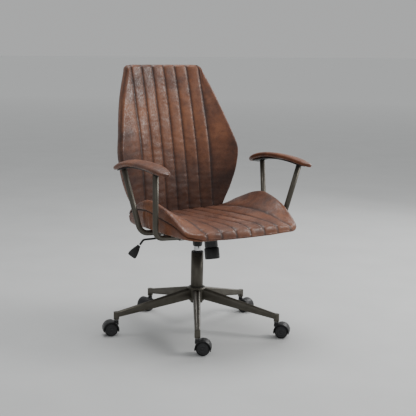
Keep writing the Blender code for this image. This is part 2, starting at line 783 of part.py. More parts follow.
def seat_cushion_shape():
    """Cushion cut across its width, with a skirt at the rear corners that hangs past the pan."""
    rings = []
    for x in [-c for c in reversed(SEAT_COLUMNS[1:])] + list(SEAT_COLUMNS):
        front = smooth_table(SEAT_FRONT, abs(x))
        rear = seat_rear(x)
        lobe = abs(x) > SEAT_REAR_CORNER[0][0] and rear > 0.030
        skirt = SEAT_SKIRT if lobe else SEAT_BOTTOM
        ring = [
            (x, rear - 0.008, skirt),
            (x, min(0.030, rear - 0.012), skirt),
            (x, min(-0.010, rear - 0.016), SEAT_BOTTOM),
            (x, front + 0.016, SEAT_BOTTOM),
            (x, front, (SEAT_BOTTOM + seat_top(x, front)) / 2.0),
        ]
        for t in SEAT_ROWS:
            y = front + t * (rear - front)
            ring.append((x, y, seat_top(x, y)))
        ring.append((x, rear, (skirt + seat_top(x, rear)) / 2.0))
        rings.append(ring)
    return loft(rings)


def seat_pan_shape():
    corner, steps = 0.050, 5
    half, front, rear = 0.190, -0.290, 0.100
    outline = []
    for cx, cy, start in ((half, rear, 0), (-half, rear, 90), (-half, front, 180), (half, front, 270)):
        inner = (cx - math.copysign(corner, cx), cy - math.copysign(corner, cy))
        for k in range(steps + 1):
            angle = math.radians(start + 90.0 * k / steps)
            outline.append((inner[0] + corner * math.cos(angle), inner[1] + corner * math.sin(angle)))
    return prism(outline, PAN_BOTTOM, PAN_TOP, "Z")


# ---------------------------------------------------------------- back

BACK_STATIONS = (
    BACK_BOTTOM, 0.415, 0.450, 0.500, 0.550, 0.605, 0.635, 0.655, 0.680, 0.740, 0.810, 0.880,
    0.945, 0.967, BACK_TOP,
)
BACK_HALF_WIDTH = (
    (BACK_BOTTOM, 0.155), (0.415, 0.173), (0.450, 0.192), (0.480, 0.2075), (0.5146, 0.2240),
    (0.5625, 0.2405), (0.6122, 0.2515), (0.6500, 0.2560), (0.6750, 0.2545), (0.7315, 0.2400),
    (0.8037, 0.2205), (0.8636, 0.2010), (0.9110, 0.1825), (0.9490, 0.1665), (0.9670, 0.1560),
    (BACK_TOP, 0.1420),
)


def back_front(x, z):
    """Y of the back's front surface: leaning and curving back, its sides wrapped forwards."""
    rise = z - BACK_FOOT_Z
    middle = BACK_FOOT_Y + BACK_LEAN * rise + BACK_CURVE * rise * rise
    wrap = 0.70 + 0.32 * math.exp(-(((z - 0.68) / 0.13) ** 2))
    return middle - wrap * x * x


def back_slab(stations, inset, near, far, front_round, rear_round):
    """A slab that follows the back, from the depth near to the depth far of its thickness."""
    rings = []
    for z in stations:
        half = smooth_table(BACK_HALF_WIDTH, z) - inset
        us = [-1.0 + 2.0 * k / 8 for k in range(9)]
        front = [(u * (half - front_round), back_front(u * half, z) + near, z) for u in us]
        rear = [(u * (half - rear_round), back_front(u * half, z) + far, z) for u in reversed(us)]
        side_y = 0.65 * front[-1][1] + 0.35 * rear[0][1]
        rings.append(front + [(half, side_y, z)] + rear + [(-half, side_y, z)])
    return loft(rings)


def back_cushion_shape():
    far = BACK_DEPTH - BACK_BOARD - 0.0016
    return back_slab(BACK_STATIONS, 0.0, 0.0, far, BACK_FRONT_ROUND, BACK_REAR_ROUND)


def back_board_shape():
    stations = [BACK_BOTTOM + 0.011, *BACK_STATIONS[2:-2], BACK_TOP - 0.007]
    near = BACK_DEPTH - BACK_BOARD
    return back_slab(stations, BACK_REAR_ROUND + 0.001, near, BACK_DEPTH, 0.001, 0.001)


def back_bar_shape():
    """Flat bar: from the seat plate back under the cushion, then up behind the back board."""
    half_width, half_thick = 0.030, 0.003
    run_z = PAN_BOTTOM - FIT - half_thick

    def behind(z):
        return back_front(0.0, z) + BACK_DEPTH + half_thick + 0.0008

    low, high = BACK_BOTTOM, 0.600
    slope = (behind(high) - behind(low)) / (high - low)
    corner_y = behind(low) - slope * (low - run_z)
    corners = [(0.0, 0.1015, run_z), (0.0, corner_y + 0.001, run_z), (0.0, behind(high) + 0.001, high)]
    path = rounded_path(corners, 0.020, 6)
    rings = []
    for i, point in enumerate(path):
        ahead = (path[min(i + 1, len(path) - 1)] - path[max(i - 1, 0)]).normalized()
        out = Vector((1.0, 0.0, 0.0)).cross(ahead)
        ring = []
        for a, b in ((-1, -1), (1, -1), (1, 1), (-1, 1)):
            ring.append(point + Vector((a * half_width, 0.0, 0.0)) + out * (b * half_thick))
        rings.append(ring)
    return loft(rings)


# ---------------------------------------------------------------- arms

PAD_LINE = (
    (-0.2799, 0.6333), (-0.1870, 0.6467), (-0.0941, 0.6498), (-0.0012, 0.6422), (0.0917, 0.6138),
)
PAD_STATIONS = (
    0.004, 0.02, 0.06, 0.12, 0.20, 0.30, 0.41, 0.52, 0.63, 0.74, 0.84, 0.91, 0.96, 0.985, 0.996,
)


def pad_station(t):
    """Middle, slope and fullness of the pad at t, from 0 in front to 1 at the rear."""
    front, rear = PAD_LINE[0][0], PAD_LINE[-1][0]
    length = rear - front
    y = front + t * length
    slope = (smooth_table(PAD_LINE, y + 0.004) - smooth_table(PAD_LINE, y - 0.004)) / 0.008
    from_front = min(t * length / PAD_FRONT_TAPER, 1.0)
    from_rear = min((1.0 - t) * length / PAD_REAR_TAPER, 1.0)
    fullness = math.sqrt(1.0 - (1.0 - min(from_front, from_rear)) ** 2)
    return y, smooth_table(PAD_LINE, y), slope, fullness


def pad_point(side, y, middle, slope, across, up):
    """A point of the pad's section, which leans outwards with the posts."""
    roll = math.radians(PAD_ROLL_DEG)
    rise = up * math.cos(roll) - across * math.sin(roll)
    x = PAD_X + across * math.cos(roll) + up * math.sin(roll)
    return (side * x, y - slope * rise, middle + rise)


def pad_half_thickness(fullness):
    return PAD_THICKNESS / 2.0 * (0.35 + 0.65 * fullness)


def pad_shape(side):
    """Curved arm pad with rounded ends and edges."""
    rings = []
    for t in PAD_STATIONS:
        y, middle, slope, fullness = pad_station(t)
        ring = []
        for k in range(10):
            angle = math.radians(18.0 + 36.0 * k)
            across = math.copysign(abs(math.cos(angle)) ** 0.6, math.cos(angle))
            up = math.copysign(abs(math.sin(angle)) ** 0.75, math.sin(angle))
            across *= PAD_HALF_WIDTH * fullness
            up *= pad_half_thickness(fullness)
            ring.append(pad_point(side, y, middle, slope, across, up))
        rings.append(ring)
    return loft(rings)


def pad_board_shape(side):
    """Board under the pad, bent to the same line."""
    half = PAD_BOARD_HALF_WIDTH
    rings = []
    for t in PAD_STATIONS[3:-3]:
        y, middle, slope, fullness = pad_station(t)
        top = -pad_half_thickness(fullness) - 0.0004
        low = top - PAD_BOARD
        corners = ((-half, top), (half, top), (half, low), (-half, low))
        rings.append([pad_point(side, y, middle, slope, across, up) for across, up in corners])
    return loft(rings)


def tube_shape(side, top, foot):
    """Arm tube: down the post, round a bend, and in under the seat."""
    corners = [(side * x, y, z) for x, y, z in (top, foot, (TUBE_RUN_X, foot[1], TUBE_RUN_Z))]
    return sweep(rounded_path(corners, TUBE_BEND, 7), TUBE_R, 20)


def build_arms(tilt):
    for label, side in (("right", -1.0), ("left", 1.0)):
        front = tube_shape(side, FRONT_POST_TOP, FRONT_POST_FOOT)
        rear = tube_shape(side, REAR_POST_TOP, REAR_POST_FOOT)
        tilt.add(f"arm_tube_front_{label}", front, bronze())
        tilt.add(f"arm_tube_rear_{label}", rear, bronze())
        tilt.add(f"arm_pad_board_{label}", pad_board_shape(side), black_plastic())
        tilt.add(f"arm_pad_{label}", pad_shape(side), leather())


# ---------------------------------------------------------------- the chair

def build_chair():
    clear_scene()
    origin = axis_empty("chair_origin", (COLUMN_X, COLUMN_Y, DATUM_Z))
    ground = Axis("column_axis", (0.0, 0.0, 0.0))
    ground.empty.parent = origin
    swivel = Axis("seat_swivel_axis", (0.0, 0.0, COLUMN_BOTTOM), ground)
    lift = Axis("seat_lift_axis", (0.0, 0.0, COLUMN_TOP), swivel)
    tilt = Axis("tilt_axis", (0.0, TILT_Y, TILT_Z), lift)
    lever_slide = Axis("lever_slide_axis", (SLEEVE_X, 0.0, LEVER_Z), lift)
    lever = Axis("lever_axis", (SLEEVE_X, 0.0, LEVER_Z), lever_slide)
    knob = Axis("knob_axis", (0.0, KNOB_Y, KNOB_Z), lift)

    build_base(ground)
    build_casters(ground)
    build_lift(swivel, lift)
    build_mechanism(lift, lever_slide, lever, knob, tilt)
    tilt.add("seat_pan", seat_pan_shape(), black_plastic())
    tilt.add("seat_cushion", seat_cushion_shape(), leather())
    tilt.add("back_bar", back_bar_shape(), black_steel())
    tilt.add("back_board", back_board_shape(), plywood())
    tilt.add("back_cushion", back_cushion_shape(), leather())
    build_arms(tilt)


build_chair()
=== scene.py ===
import json
import math

import bmesh
import bpy
from mathutils import Matrix, Vector, noise
from mathutils.kdtree import KDTree


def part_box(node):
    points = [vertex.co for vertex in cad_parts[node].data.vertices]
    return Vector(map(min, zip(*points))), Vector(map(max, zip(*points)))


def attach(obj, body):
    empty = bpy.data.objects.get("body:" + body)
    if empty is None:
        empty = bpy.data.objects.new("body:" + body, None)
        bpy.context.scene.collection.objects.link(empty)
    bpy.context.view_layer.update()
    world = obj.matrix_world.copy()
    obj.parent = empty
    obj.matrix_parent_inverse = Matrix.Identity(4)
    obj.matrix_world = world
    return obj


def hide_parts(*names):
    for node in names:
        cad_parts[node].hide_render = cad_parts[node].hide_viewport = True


# Looks of the swivel office chair: channelled leather on the back and seat, leather arm pads,
# fittings, materials, light and camera. Lengths are in metres. The chair faces -Y, and its own
# coordinates have their origin on the floor under the column.

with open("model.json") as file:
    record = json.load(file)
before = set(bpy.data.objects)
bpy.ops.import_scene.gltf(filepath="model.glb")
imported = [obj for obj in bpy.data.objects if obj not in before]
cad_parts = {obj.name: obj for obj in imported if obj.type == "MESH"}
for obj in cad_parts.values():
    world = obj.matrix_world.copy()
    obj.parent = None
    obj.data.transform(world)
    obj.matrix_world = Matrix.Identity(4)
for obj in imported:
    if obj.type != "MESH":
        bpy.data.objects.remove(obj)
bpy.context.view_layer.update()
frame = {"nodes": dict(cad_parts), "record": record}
NODES = frame["nodes"]

PAN_BOTTOM = 0.4040
COLUMN_LOW, COLUMN_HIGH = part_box("column_tube")
COLUMN_MIDDLE = (COLUMN_LOW + COLUMN_HIGH) / 2.0
ORIGIN = Vector((COLUMN_MIDDLE.x, COLUMN_MIDDLE.y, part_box("seat_pan")[0].z - PAN_BOTTOM))


# ---------------------------------------------------------------- curves and meshes

def smooth_table(points, at):
    """Read a smooth curve through (position, value) points, level with the table at its ends."""
    if at <= points[0][0]:
        return points[0][1]
    for k in range(len(points) - 1):
        (a, va), (b, vb) = points[k], points[k + 1]
        if at <= b:
            before = points[max(k - 1, 0)]
            after = points[min(k + 2, len(points) - 1)]
            slope_a = (vb - before[1]) / (b - before[0])
            slope_b = (after[1] - va) / (after[0] - a)
            span = b - a
            t = (at - a) / span
            return (
                va * (2 * t**3 - 3 * t**2 + 1)
                + slope_a * span * (t**3 - 2 * t**2 + t)
                + vb * (3 * t**2 - 2 * t**3)
                + slope_b * span * (t**3 - t**2)
            )
    return points[-1][1]


def spread(count, low=0.0, high=1.0):
    """Evenly spaced values from low to high, both included."""
    return [low + (high - low) * k / (count - 1) for k in range(count)]


def dip(distance, width):
    """A narrow valley: 1 at its bottom and 0 a few widths away."""
    return math.exp(-((distance / width) ** 2))


def ease(value, low, high):
    """0 up to low, 1 from high on, smooth in between."""
    t = max(0.0, min(1.0, (value - low) / (high - low)))
    return t * t * (3.0 - 2.0 * t)


def wrinkle(point, stretch, seed):
    """Smooth signed noise at a point, stretched by a scale for each axis."""
    scaled = Vector(a * b for a, b in zip(point, stretch))
    return noise.noise(scaled + Vector((seed, 0.37 * seed, -1.3 * seed)))


def mesh_object(name, bm, material, smooth=True):
    bmesh.ops.recalc_face_normals(bm, faces=bm.faces)
    mesh = bpy.data.meshes.new(name)
    bm.to_mesh(mesh)
    bm.free()
    mesh.polygons.foreach_set("use_smooth", [smooth] * len(mesh.polygons))
    mesh.materials.append(material)
    made = bpy.data.objects.new(name, mesh)
    bpy.context.scene.collection.objects.link(made)
    return made


def subdivided(piece):
    smoother = piece.modifiers.new("smooth", "SUBSURF")
    smoother.levels = 1
    smoother.render_levels = 1
    return piece


def loft_into(bm, rings, closed_ends=True):
    """Skin closed rings of points, one after another, and close both ends."""
    made = [[bm.verts.new(p) for p in ring] for ring in rings]
    count = len(made[0])
    for low, high in zip(made, made[1:]):
        for k in range(count):
            nxt = (k + 1) % count
            bm.faces.new((low[k], low[nxt], high[nxt], high[k]))
    if closed_ends:
        bm.faces.new(made[0])
        bm.faces.new(made[-1])


def lathe_into(bm, profile, place, sides=24):
    """Turn a profile of (radius, height) about the Z axis of the matrix place."""
    rings = []
    for radius, height in profile:
        ring = []
        for k in range(sides):
            angle = math.tau * k / sides
            ring.append(place @ Vector((radius * math.cos(angle), radius * math.sin(angle), height)))
        rings.append(ring)
    loft_into(bm, rings)


def facing(point, direction):
    """Matrix that puts the origin at a point and turns Z to a direction."""
    turn = Vector(direction).to_track_quat("Z", "Y").to_matrix().to_4x4()
    return Matrix.Translation(point) @ turn


def chair(x, y, z):
    """A point given in the chair's own coordinates, in the row frame."""
    return ORIGIN + Vector((x, y, z))


# ---------------------------------------------------------------- padded panels

def rim_order(rows, columns):
    """Grid places round the edge of a grid, in order, each once."""
    low = [(0, c) for c in range(columns)]
    right = [(r, columns - 1) for r in range(1, rows)]
    high = [(rows - 1, c) for c in range(columns - 2, -1, -1)]
    left = [(r, 0) for r in range(rows - 2, 0, -1)]
    return low + right + high + left


def rim_normals(points):
    """Outward normals in the plan of a closed run of plan points."""
    area = 0.0
    for (ax, ay), (bx, by) in zip(points, points[1:] + points[:1]):
        area += ax * by - bx * ay
    turn = 1.0 if area > 0.0 else -1.0
    normals = []
    for k in range(len(points)):
        ahead = Vector(points[(k + 1) % len(points)]) - Vector(points[k - 1])
        normals.append(Vector((ahead.y * turn, -ahead.x * turn)).normalized())
    return normals


class Panel:
    """An upholstered panel: a plan outline, a front face with sewn valleys, sides and a rear face.

    Plan points are (a, b) and depth is measured from the front face into the panel. The grid
    holds the plan points by row and column, and its outer ring is the panel's outline.
    """

    def __init__(self, grid):
        self.grid = grid
        self.order = rim_order(len(grid), len(grid[0]))
        self.rim = [grid[r][c] for r, c in self.order]
        self.normals = rim_normals(self.rim)
        self.tree = self.outline_tree()

    def outline_tree(self):
        """Search tree over the outline, with extra points between the grid's own."""
        between = 6
        points = []
        for k, start in enumerate(self.rim):
            end = self.rim[(k + 1) % len(self.rim)]
            for step in range(between):
                t = step / between
                points.append((start[0] + (end[0] - start[0]) * t, start[1] + (end[1] - start[1]) * t))
        tree = KDTree(len(points))
        for k, (a, b) in enumerate(points):
            tree.insert((a, b, 0.0), k)
        tree.balance()
        return tree

    def edge(self, a, b):
        """Nearest distance to the outline, and the plan direction towards it."""
        found, _, distance = self.tree.find((a, b, 0.0))
        if distance < 1e-6:
            return 0.0, Vector((0.0, 0.0))
        return distance, Vector((found.x - a, found.y - b)) / distance

    def rolled(self, distance, radius):
        """Depth and sideways share of a front face that rolls over near its edge."""
        if distance >= radius:
            return 0.0, 0.0
        share = 1.0 - distance / radius
        return radius * (1.0 - math.sqrt(max(1.0 - share * share, 0.0))), share

    def build(self, name, front, side, rear, material):
        """Skin the panel. Each function gives points with their share of seam shadow.

        front(a, b) and rear(a, b) give one (point, shadow); side(k) gives a list of them.
        """
        bm = bmesh.new()
        # The "crease" layer darkens the leather's colour: painted shade in seam valleys, folds and grooves,
        # and on the lower back and the seat's rear a darkening that is partly patina, partly painted shade.
        layer = bm.verts.layers.float.new("crease")

        def vertex(placed):
            made = bm.verts.new(placed[0])
            made[layer] = placed[1]
            return made

        faces = []
        for place in (front, rear):
            rows = []
            for line in self.grid:
                rows.append([vertex(place(a, b)) for a, b in line])
            for low, high in zip(rows, rows[1:]):
                for c in range(len(low) - 1):
                    bm.faces.new((low[c], low[c + 1], high[c + 1], high[c]))
            faces.append([rows[r][c] for r, c in self.order])
        runs = []
        for k in range(len(self.order)):
            inner = [vertex(p) for p in side(k)]
            runs.append([faces[0][k], *inner, faces[1][k]])
        for run, nxt in zip(runs, runs[1:] + runs[:1]):
            for j in range(len(run) - 1):
                bm.faces.new((run[j], nxt[j], nxt[j + 1], run[j + 1]))
        return subdivided(mesh_object(name, bm, material))


def channel_columns(seams, edge, inner_steps, outer_steps):
    """Positions across one half: close together at the seams and at the outer edge."""
    values = [seams[0]]
    for start, end in zip(seams, seams[1:]):
        for k in range(1, inner_steps + 1):
            t = k / inner_steps
            eased = t - 0.45 * math.sin(math.tau * t) / math.tau
            values.append(start + (end - start) * eased)
    last = seams[-1]
    for k in range(1, outer_steps + 1):
        values.append(last + (edge - last) * math.sin(math.pi / 2.0 * k / outer_steps))
    return values


def mirrored(values):
    return [-v for v in reversed(values[1:])] + list(values)


def channel_place(x, seams):
    """Distance from the nearest seam, and the share of the way across the channel at x."""
    reach = abs(x)
    nearest = min(abs(reach - s) for s in seams)
    for start, end in zip(seams, seams[1:]):
        if reach <= end:
            return nearest, (reach - start) / (end - start)
    return nearest, None


# ---------------------------------------------------------------- back

SEAMS = (0.0, 0.050, 0.100, 0.150)
VALLEY_DEPTH = 0.0037
VALLEY_SHOULDER = 0.0007
CHANNEL_CROWN = 0.0012
BACK_VALLEY_WIDTH = 0.0027
SEAT_VALLEY_WIDTH = 0.0028
SEAM_SHADOW_WIDTH = 0.0030
FOLD_OFFSET = 0.0085
SEAM_MARGIN = 0.012
BACK_FOOT_Y = 0.140
BACK_FOOT_Z = 0.433
BACK_LEAN = 0.150
BACK_CURVE = 0.165
BACK_BOTTOM = 0.405
BACK_TOP = 0.9755
BACK_DEPTH = 0.055
# Darkening of the lower back's colour: partly patina, partly painted shade.
BACK_PATINA_AND_PAINTED_SHADE = 0.66
BACK_ROLL = 0.009
BACK_REAR_INSET = 0.0270
REAR_ROLL_DEPTH = 0.039
BACK_SWELL = 0.0025
BACK_TOP_CORNER = 0.017
BACK_LOW_CORNER = 0.024
BACK_HALF_WIDTH = (
    (BACK_BOTTOM, 0.167), (0.415, 0.174), (0.450, 0.192), (0.480, 0.2075), (0.5146, 0.2240),
    (0.5625, 0.2405), (0.6122, 0.2515), (0.6500, 0.2560), (0.6750, 0.2545), (0.7315, 0.2400),
    (0.8037, 0.2205), (0.8636, 0.2010), (0.9110, 0.1825), (0.9490, 0.1665), (BACK_TOP, 0.1600),
)


def back_front(x, z):
    """Y of the back's front surface: leaning and curving back, its sides wrapped forwards."""
    rise = z - BACK_FOOT_Z
    middle = BACK_FOOT_Y + BACK_LEAN * rise + BACK_CURVE * rise * rise
    wrap = 0.70 + 0.32 * math.exp(-(((z - 0.68) / 0.13) ** 2))
    return middle - wrap * x * x


def rounded_rows(low, high, low_corner, high_corner, corner_steps, steps):
    """Heights with the drop in half width that rounds the outline's corners at both ends."""
    turns = [math.pi / 2.0 * k / corner_steps for k in range(corner_steps)]
    arc = [(1.0 - math.cos(turn), 1.0 - math.sin(turn)) for turn in turns]
    rows = [(low + low_corner * a, low_corner * b) for a, b in arc]
    rows += [(z, 0.0) for z in spread(steps, low + low_corner, high - high_corner)]
    rows += [(high - high_corner * a, high_corner * b) for a, b in reversed(arc)]
    return rows


def back_seams(half):
    limit = half - SEAM_MARGIN
    return [min(s, limit * s / SEAMS[-1]) for s in SEAMS]


def back_grid():
    grid = []
    for z, drop in rounded_rows(BACK_BOTTOM, BACK_TOP, BACK_LOW_CORNER, BACK_TOP_CORNER, 6, 88):
        half = smooth_table(BACK_HALF_WIDTH, z) + BACK_SWELL - drop
        line = mirrored(channel_columns(back_seams(half), half, 9, 13))
        grid.append([(x, z) for x in line])
    return grid


def back_relief(x, z):
    """Depth of the sewn valleys and fine creases in the back's front face."""
    half = smooth_table(BACK_HALF_WIDTH, z)
    seams = back_seams(half)
    nearest, across = channel_place(x, seams)
    depth = VALLEY_DEPTH * dip(nearest, BACK_VALLEY_WIDTH) + VALLEY_SHOULDER * dip(nearest, 0.009)
    fold = abs(abs(x) - seams[-1] - FOLD_OFFSET)
    depth += 0.0016 * dip(fold, 0.0020)
    if across is not None:
        depth -= CHANNEL_CROWN * (1.0 - abs(2.0 * across - 1.0) ** 2.5)
    pucker = wrinkle((x, 0.0, z), (20.0, 1.0, 150.0), 3.1)
    depth += 0.0011 * pucker * dip(nearest - 0.006, 0.009)
    lower = max(0.0, min(1.0, (0.80 - z) / 0.30))
    depth += (0.0005 + 0.0007 * lower) * wrinkle((x, 0.0, z), (26.0, 1.0, 75.0), 7.7)
    depth += 0.0014 * wrinkle((x, 0.0, z), (9.0, 1.0, 14.0), 1.9)
    return depth


def back_shadow(x, z):
    """Darkness of the leather's colour: painted shade in the seam valleys and folds, and a darkening of the
    lower back that is partly patina and partly painted shade.
    """
    seams = back_seams(smooth_table(BACK_HALF_WIDTH, z))
    nearest, _ = channel_place(x, seams)
    fold = abs(abs(x) - seams[-1] - FOLD_OFFSET)
    patina_and_painted_shade = BACK_PATINA_AND_PAINTED_SHADE * (1.0 - ease(z, 0.47, 0.76))
    return min(1.0, max(patina_and_painted_shade, dip(nearest, SEAM_SHADOW_WIDTH) + 0.5 * dip(fold, 0.0018)))


def make_back(material):
    """The back's upholstery, in place of the plain cushion and the board behind it."""
    panel = Panel(back_grid())

    def front(x, z):
        distance, towards = panel.edge(x, z)
        depth, sideways = panel.rolled(distance, BACK_ROLL)
        relief = back_relief(x, z)
        shift = towards * (-relief * sideways)
        straight = math.sqrt(max(1.0 - sideways * sideways, 0.0))
        y = back_front(x, z) + depth + relief * straight
        return chair(x + shift.x, y, z + shift.y), back_shadow(x, z)

    def rear(x, z):
        distance, _ = panel.edge(x, z)
        dent = 0.0018 * dip(distance - 0.024, 0.0035)
        dent += 0.0012 * max(0.0, 1.0 - distance / 0.012)
        place = chair(x, back_front(x, z) + BACK_DEPTH - 0.0004 - dent, z)
        # The second value is painted shade along the dent round the rear panel.
        return place, dip(distance - 0.024, 0.0025)

    # Sideways reach, depth and seam shadow, from the front roll to the rear panel: a slim piped
    # rim, the boxing strip, a second seam and the rear roll.
    profile = [
        (0.0000, 0.0094, 0.0), (-0.0003, 0.0110, 0.1), (-0.0013, 0.0122, 0.8), (-0.0016, 0.0130, 1.0),
        (-0.0006, 0.0138, 0.4), (0.0002, 0.0150, 0.0), (0.0003, 0.0166, 0.0), (-0.0004, 0.0180, 0.4),
        (-0.0018, 0.0189, 1.0), (-0.0014, 0.0199, 0.6), (-0.0008, 0.0225, 0.0), (-0.0010, 0.0290, 0.0),
        (-0.0016, 0.0350, 0.0), (-0.0026, 0.0400, 0.0), (-0.0044, 0.0425, 0.8), (-0.0036, 0.0445, 0.3),
        (-0.0048, 0.0480, 0.0), (-0.0078, 0.0512, 0.0), (-0.0118, 0.0530, 0.0), (-0.0160, 0.0540, 0.0),
    ]

    def side(k):
        x, z = panel.rim[k]
        normal = panel.normals[k]
        relief = back_relief(x, z)
        points = []
        seam_shadow = back_shadow(x, z)
        for out, depth, shadow in profile:
            fade = max(0.0, 1.0 - (depth - BACK_ROLL) / 0.006)
            ripple = 0.0006 * wrinkle((x, depth, z), (60.0, 40.0, 60.0), 5.3)
            rounding = 1.0 + 0.55 * max(0.0, normal.y) if depth > REAR_ROLL_DEPTH else 1.0
            reach = out * rounding - relief * fade + ripple
            place = chair(x + normal.x * reach, back_front(x, z) + depth, z + normal.y * reach)
            points.append((place, max(shadow, seam_shadow * fade)))
        return points

    def rear_inset(x, z):
        scale_x = 1.0 - BACK_REAR_INSET / smooth_table(BACK_HALF_WIDTH, z)
        middle = (BACK_BOTTOM + BACK_TOP) / 2.0
        scale_z = 1.0 - BACK_REAR_INSET / (BACK_TOP - middle)
        return rear(x * scale_x, middle + (z - middle) * scale_z)

    return panel.build("back_upholstery", front, side, rear_inset, material)


# ---------------------------------------------------------------- seat

SEAT_BOTTOM = 0.4085
SEAT_LOBE_BOTTOM = 0.4003
SEAT_BACK_GAP = 0.0050
SEAT_ROLL = 0.011
SEAT_SWELL = 1.012
WING_LIFT = 0.0030
WING_CREST = 0.955
SEAT_FAN = (1.0, 1.178)
# Darkening of the seat's rear in its colour: partly patina, partly painted shade.
SEAT_PATINA_AND_PAINTED_SHADE = 0.34
SEAT_UNDER_SCALE = 0.905
SEAT_UNDER_MIDDLE_Y = -0.10
SEAT_HALF_WIDTH = (
    (-0.342, 0.200), (-0.300, 0.225), (-0.270, 0.236), (-0.165, 0.245), (-0.055, 0.2505),
    (0.030, 0.240), (0.112, 0.228), (0.130, 0.222),
)
SEAT_EDGE_Z = (
    (-0.342, 0.424), (-0.325, 0.430), (-0.285, 0.436), (-0.225, 0.470), (-0.165, 0.496),
    (-0.055, 0.5125), (0.065, 0.473), (0.130, 0.440),
)
SEAT_MIDDLE_Z = ((-0.342, 0.424), (-0.325, 0.441), (-0.270, 0.447), (-0.100, 0.441), (0.140, 0.433))
SEAT_FRONT = (
    (0.0, -0.342), (0.185, -0.333), (0.205, -0.322), (0.225, -0.298), (0.236, -0.265),
    (0.245, -0.165), (0.2495, -0.085),
)
SEAT_REAR_CORNER = (
    (0.196, 0.112), (0.204, 0.124), (0.218, 0.126), (0.227, 0.112), (0.240, 0.040), (0.2495, -0.030),
)
SIDE_SEAM_Z = (
    (-0.334, 0.426), (-0.294, 0.4355), (-0.248, 0.4435), (-0.217, 0.451), (-0.136, 0.464),
    (-0.053, 0.4765), (0.060, 0.462), (0.130, 0.436),
)


def seat_top(x, y):
    """Height of the seat's top: a shallow valley between the two raised side wings."""
    middle = smooth_table(SEAT_MIDDLE_Z, y)
    edge = smooth_table(SEAT_EDGE_Z, y)
    u = min(abs(x) / (smooth_table(SEAT_HALF_WIDTH, y) * WING_CREST), 1.0)
    return middle + (edge + WING_LIFT * u - middle) * u**3


def seat_rear(x):
    """Y of the seat's rear edge, which stays in front of the wrapped back."""
    reach = abs(x)
    if reach <= SEAT_REAR_CORNER[0][0]:
        return back_front(reach, 0.412) - SEAT_BACK_GAP
    return smooth_table(SEAT_REAR_CORNER, reach)


def seat_seams(y):
    """The seams fan out from the rear to the front."""
    rear, front = 0.115, -0.342
    t = max(0.0, min(1.0, (rear - y) / (rear - front)))
    fan = SEAT_FAN[0] + (SEAT_FAN[1] - SEAT_FAN[0]) * t
    return [s * fan for s in SEAMS]


def seat_grid():
    widest = SEAT_FRONT[-1][0]
    steps = [0.5 - 0.5 * math.cos(math.pi * t) for t in spread(75)]
    shares = [0.55 * s + 0.45 * t for s, t in zip(steps, spread(75))]
    columns = []
    rear_line = channel_columns(seat_seams(0.115), widest, 9, 15)
    front_line = channel_columns(seat_seams(-0.342), widest, 9, 15)
    for at_rear, at_front in zip(rear_line, front_line):
        column = []
        for share in shares:
            x = at_rear + (at_front - at_rear) * share
            front, rear = smooth_table(SEAT_FRONT, x), seat_rear(x)
            column.append((x * SEAT_SWELL, front + (rear - front) * (1.0 - share)))
        columns.append(column)
    whole = [[(-x, y) for x, y in column] for column in reversed(columns[1:])] + columns
    return [list(line) for line in zip(*whole)]


def seat_relief(x, y):
    nearest, across = channel_place(x, seat_seams(y))
    depth = VALLEY_DEPTH * dip(nearest, SEAT_VALLEY_WIDTH) + VALLEY_SHOULDER * dip(nearest, 0.010)
    if across is not None:
        depth -= CHANNEL_CROWN * (1.0 - abs(2.0 * across - 1.0) ** 2.5)
    pucker = wrinkle((x, y, 0.0), (20.0, 140.0, 1.0), 4.2)
    depth += 0.0012 * pucker * dip(nearest - 0.006, 0.009)
    depth += 0.0007 * wrinkle((x, y, 0.0), (24.0, 60.0, 1.0), 8.8)
    depth += 0.0014 * wrinkle((x, y, 0.0), (10.0, 12.0, 1.0), 2.4)
    return depth


def seat_shadow(x, y):
    """Darkness of the leather's colour: painted shade in the seam valleys, and a darkening towards the rear
    that is partly patina and partly painted shade, as on the back.
    """
    nearest, _ = channel_place(x, seat_seams(y))
    patina_and_painted_shade = SEAT_PATINA_AND_PAINTED_SHADE * ease(y, -0.24, 0.06)
    return max(dip(nearest, SEAM_SHADOW_WIDTH), patina_and_painted_shade)


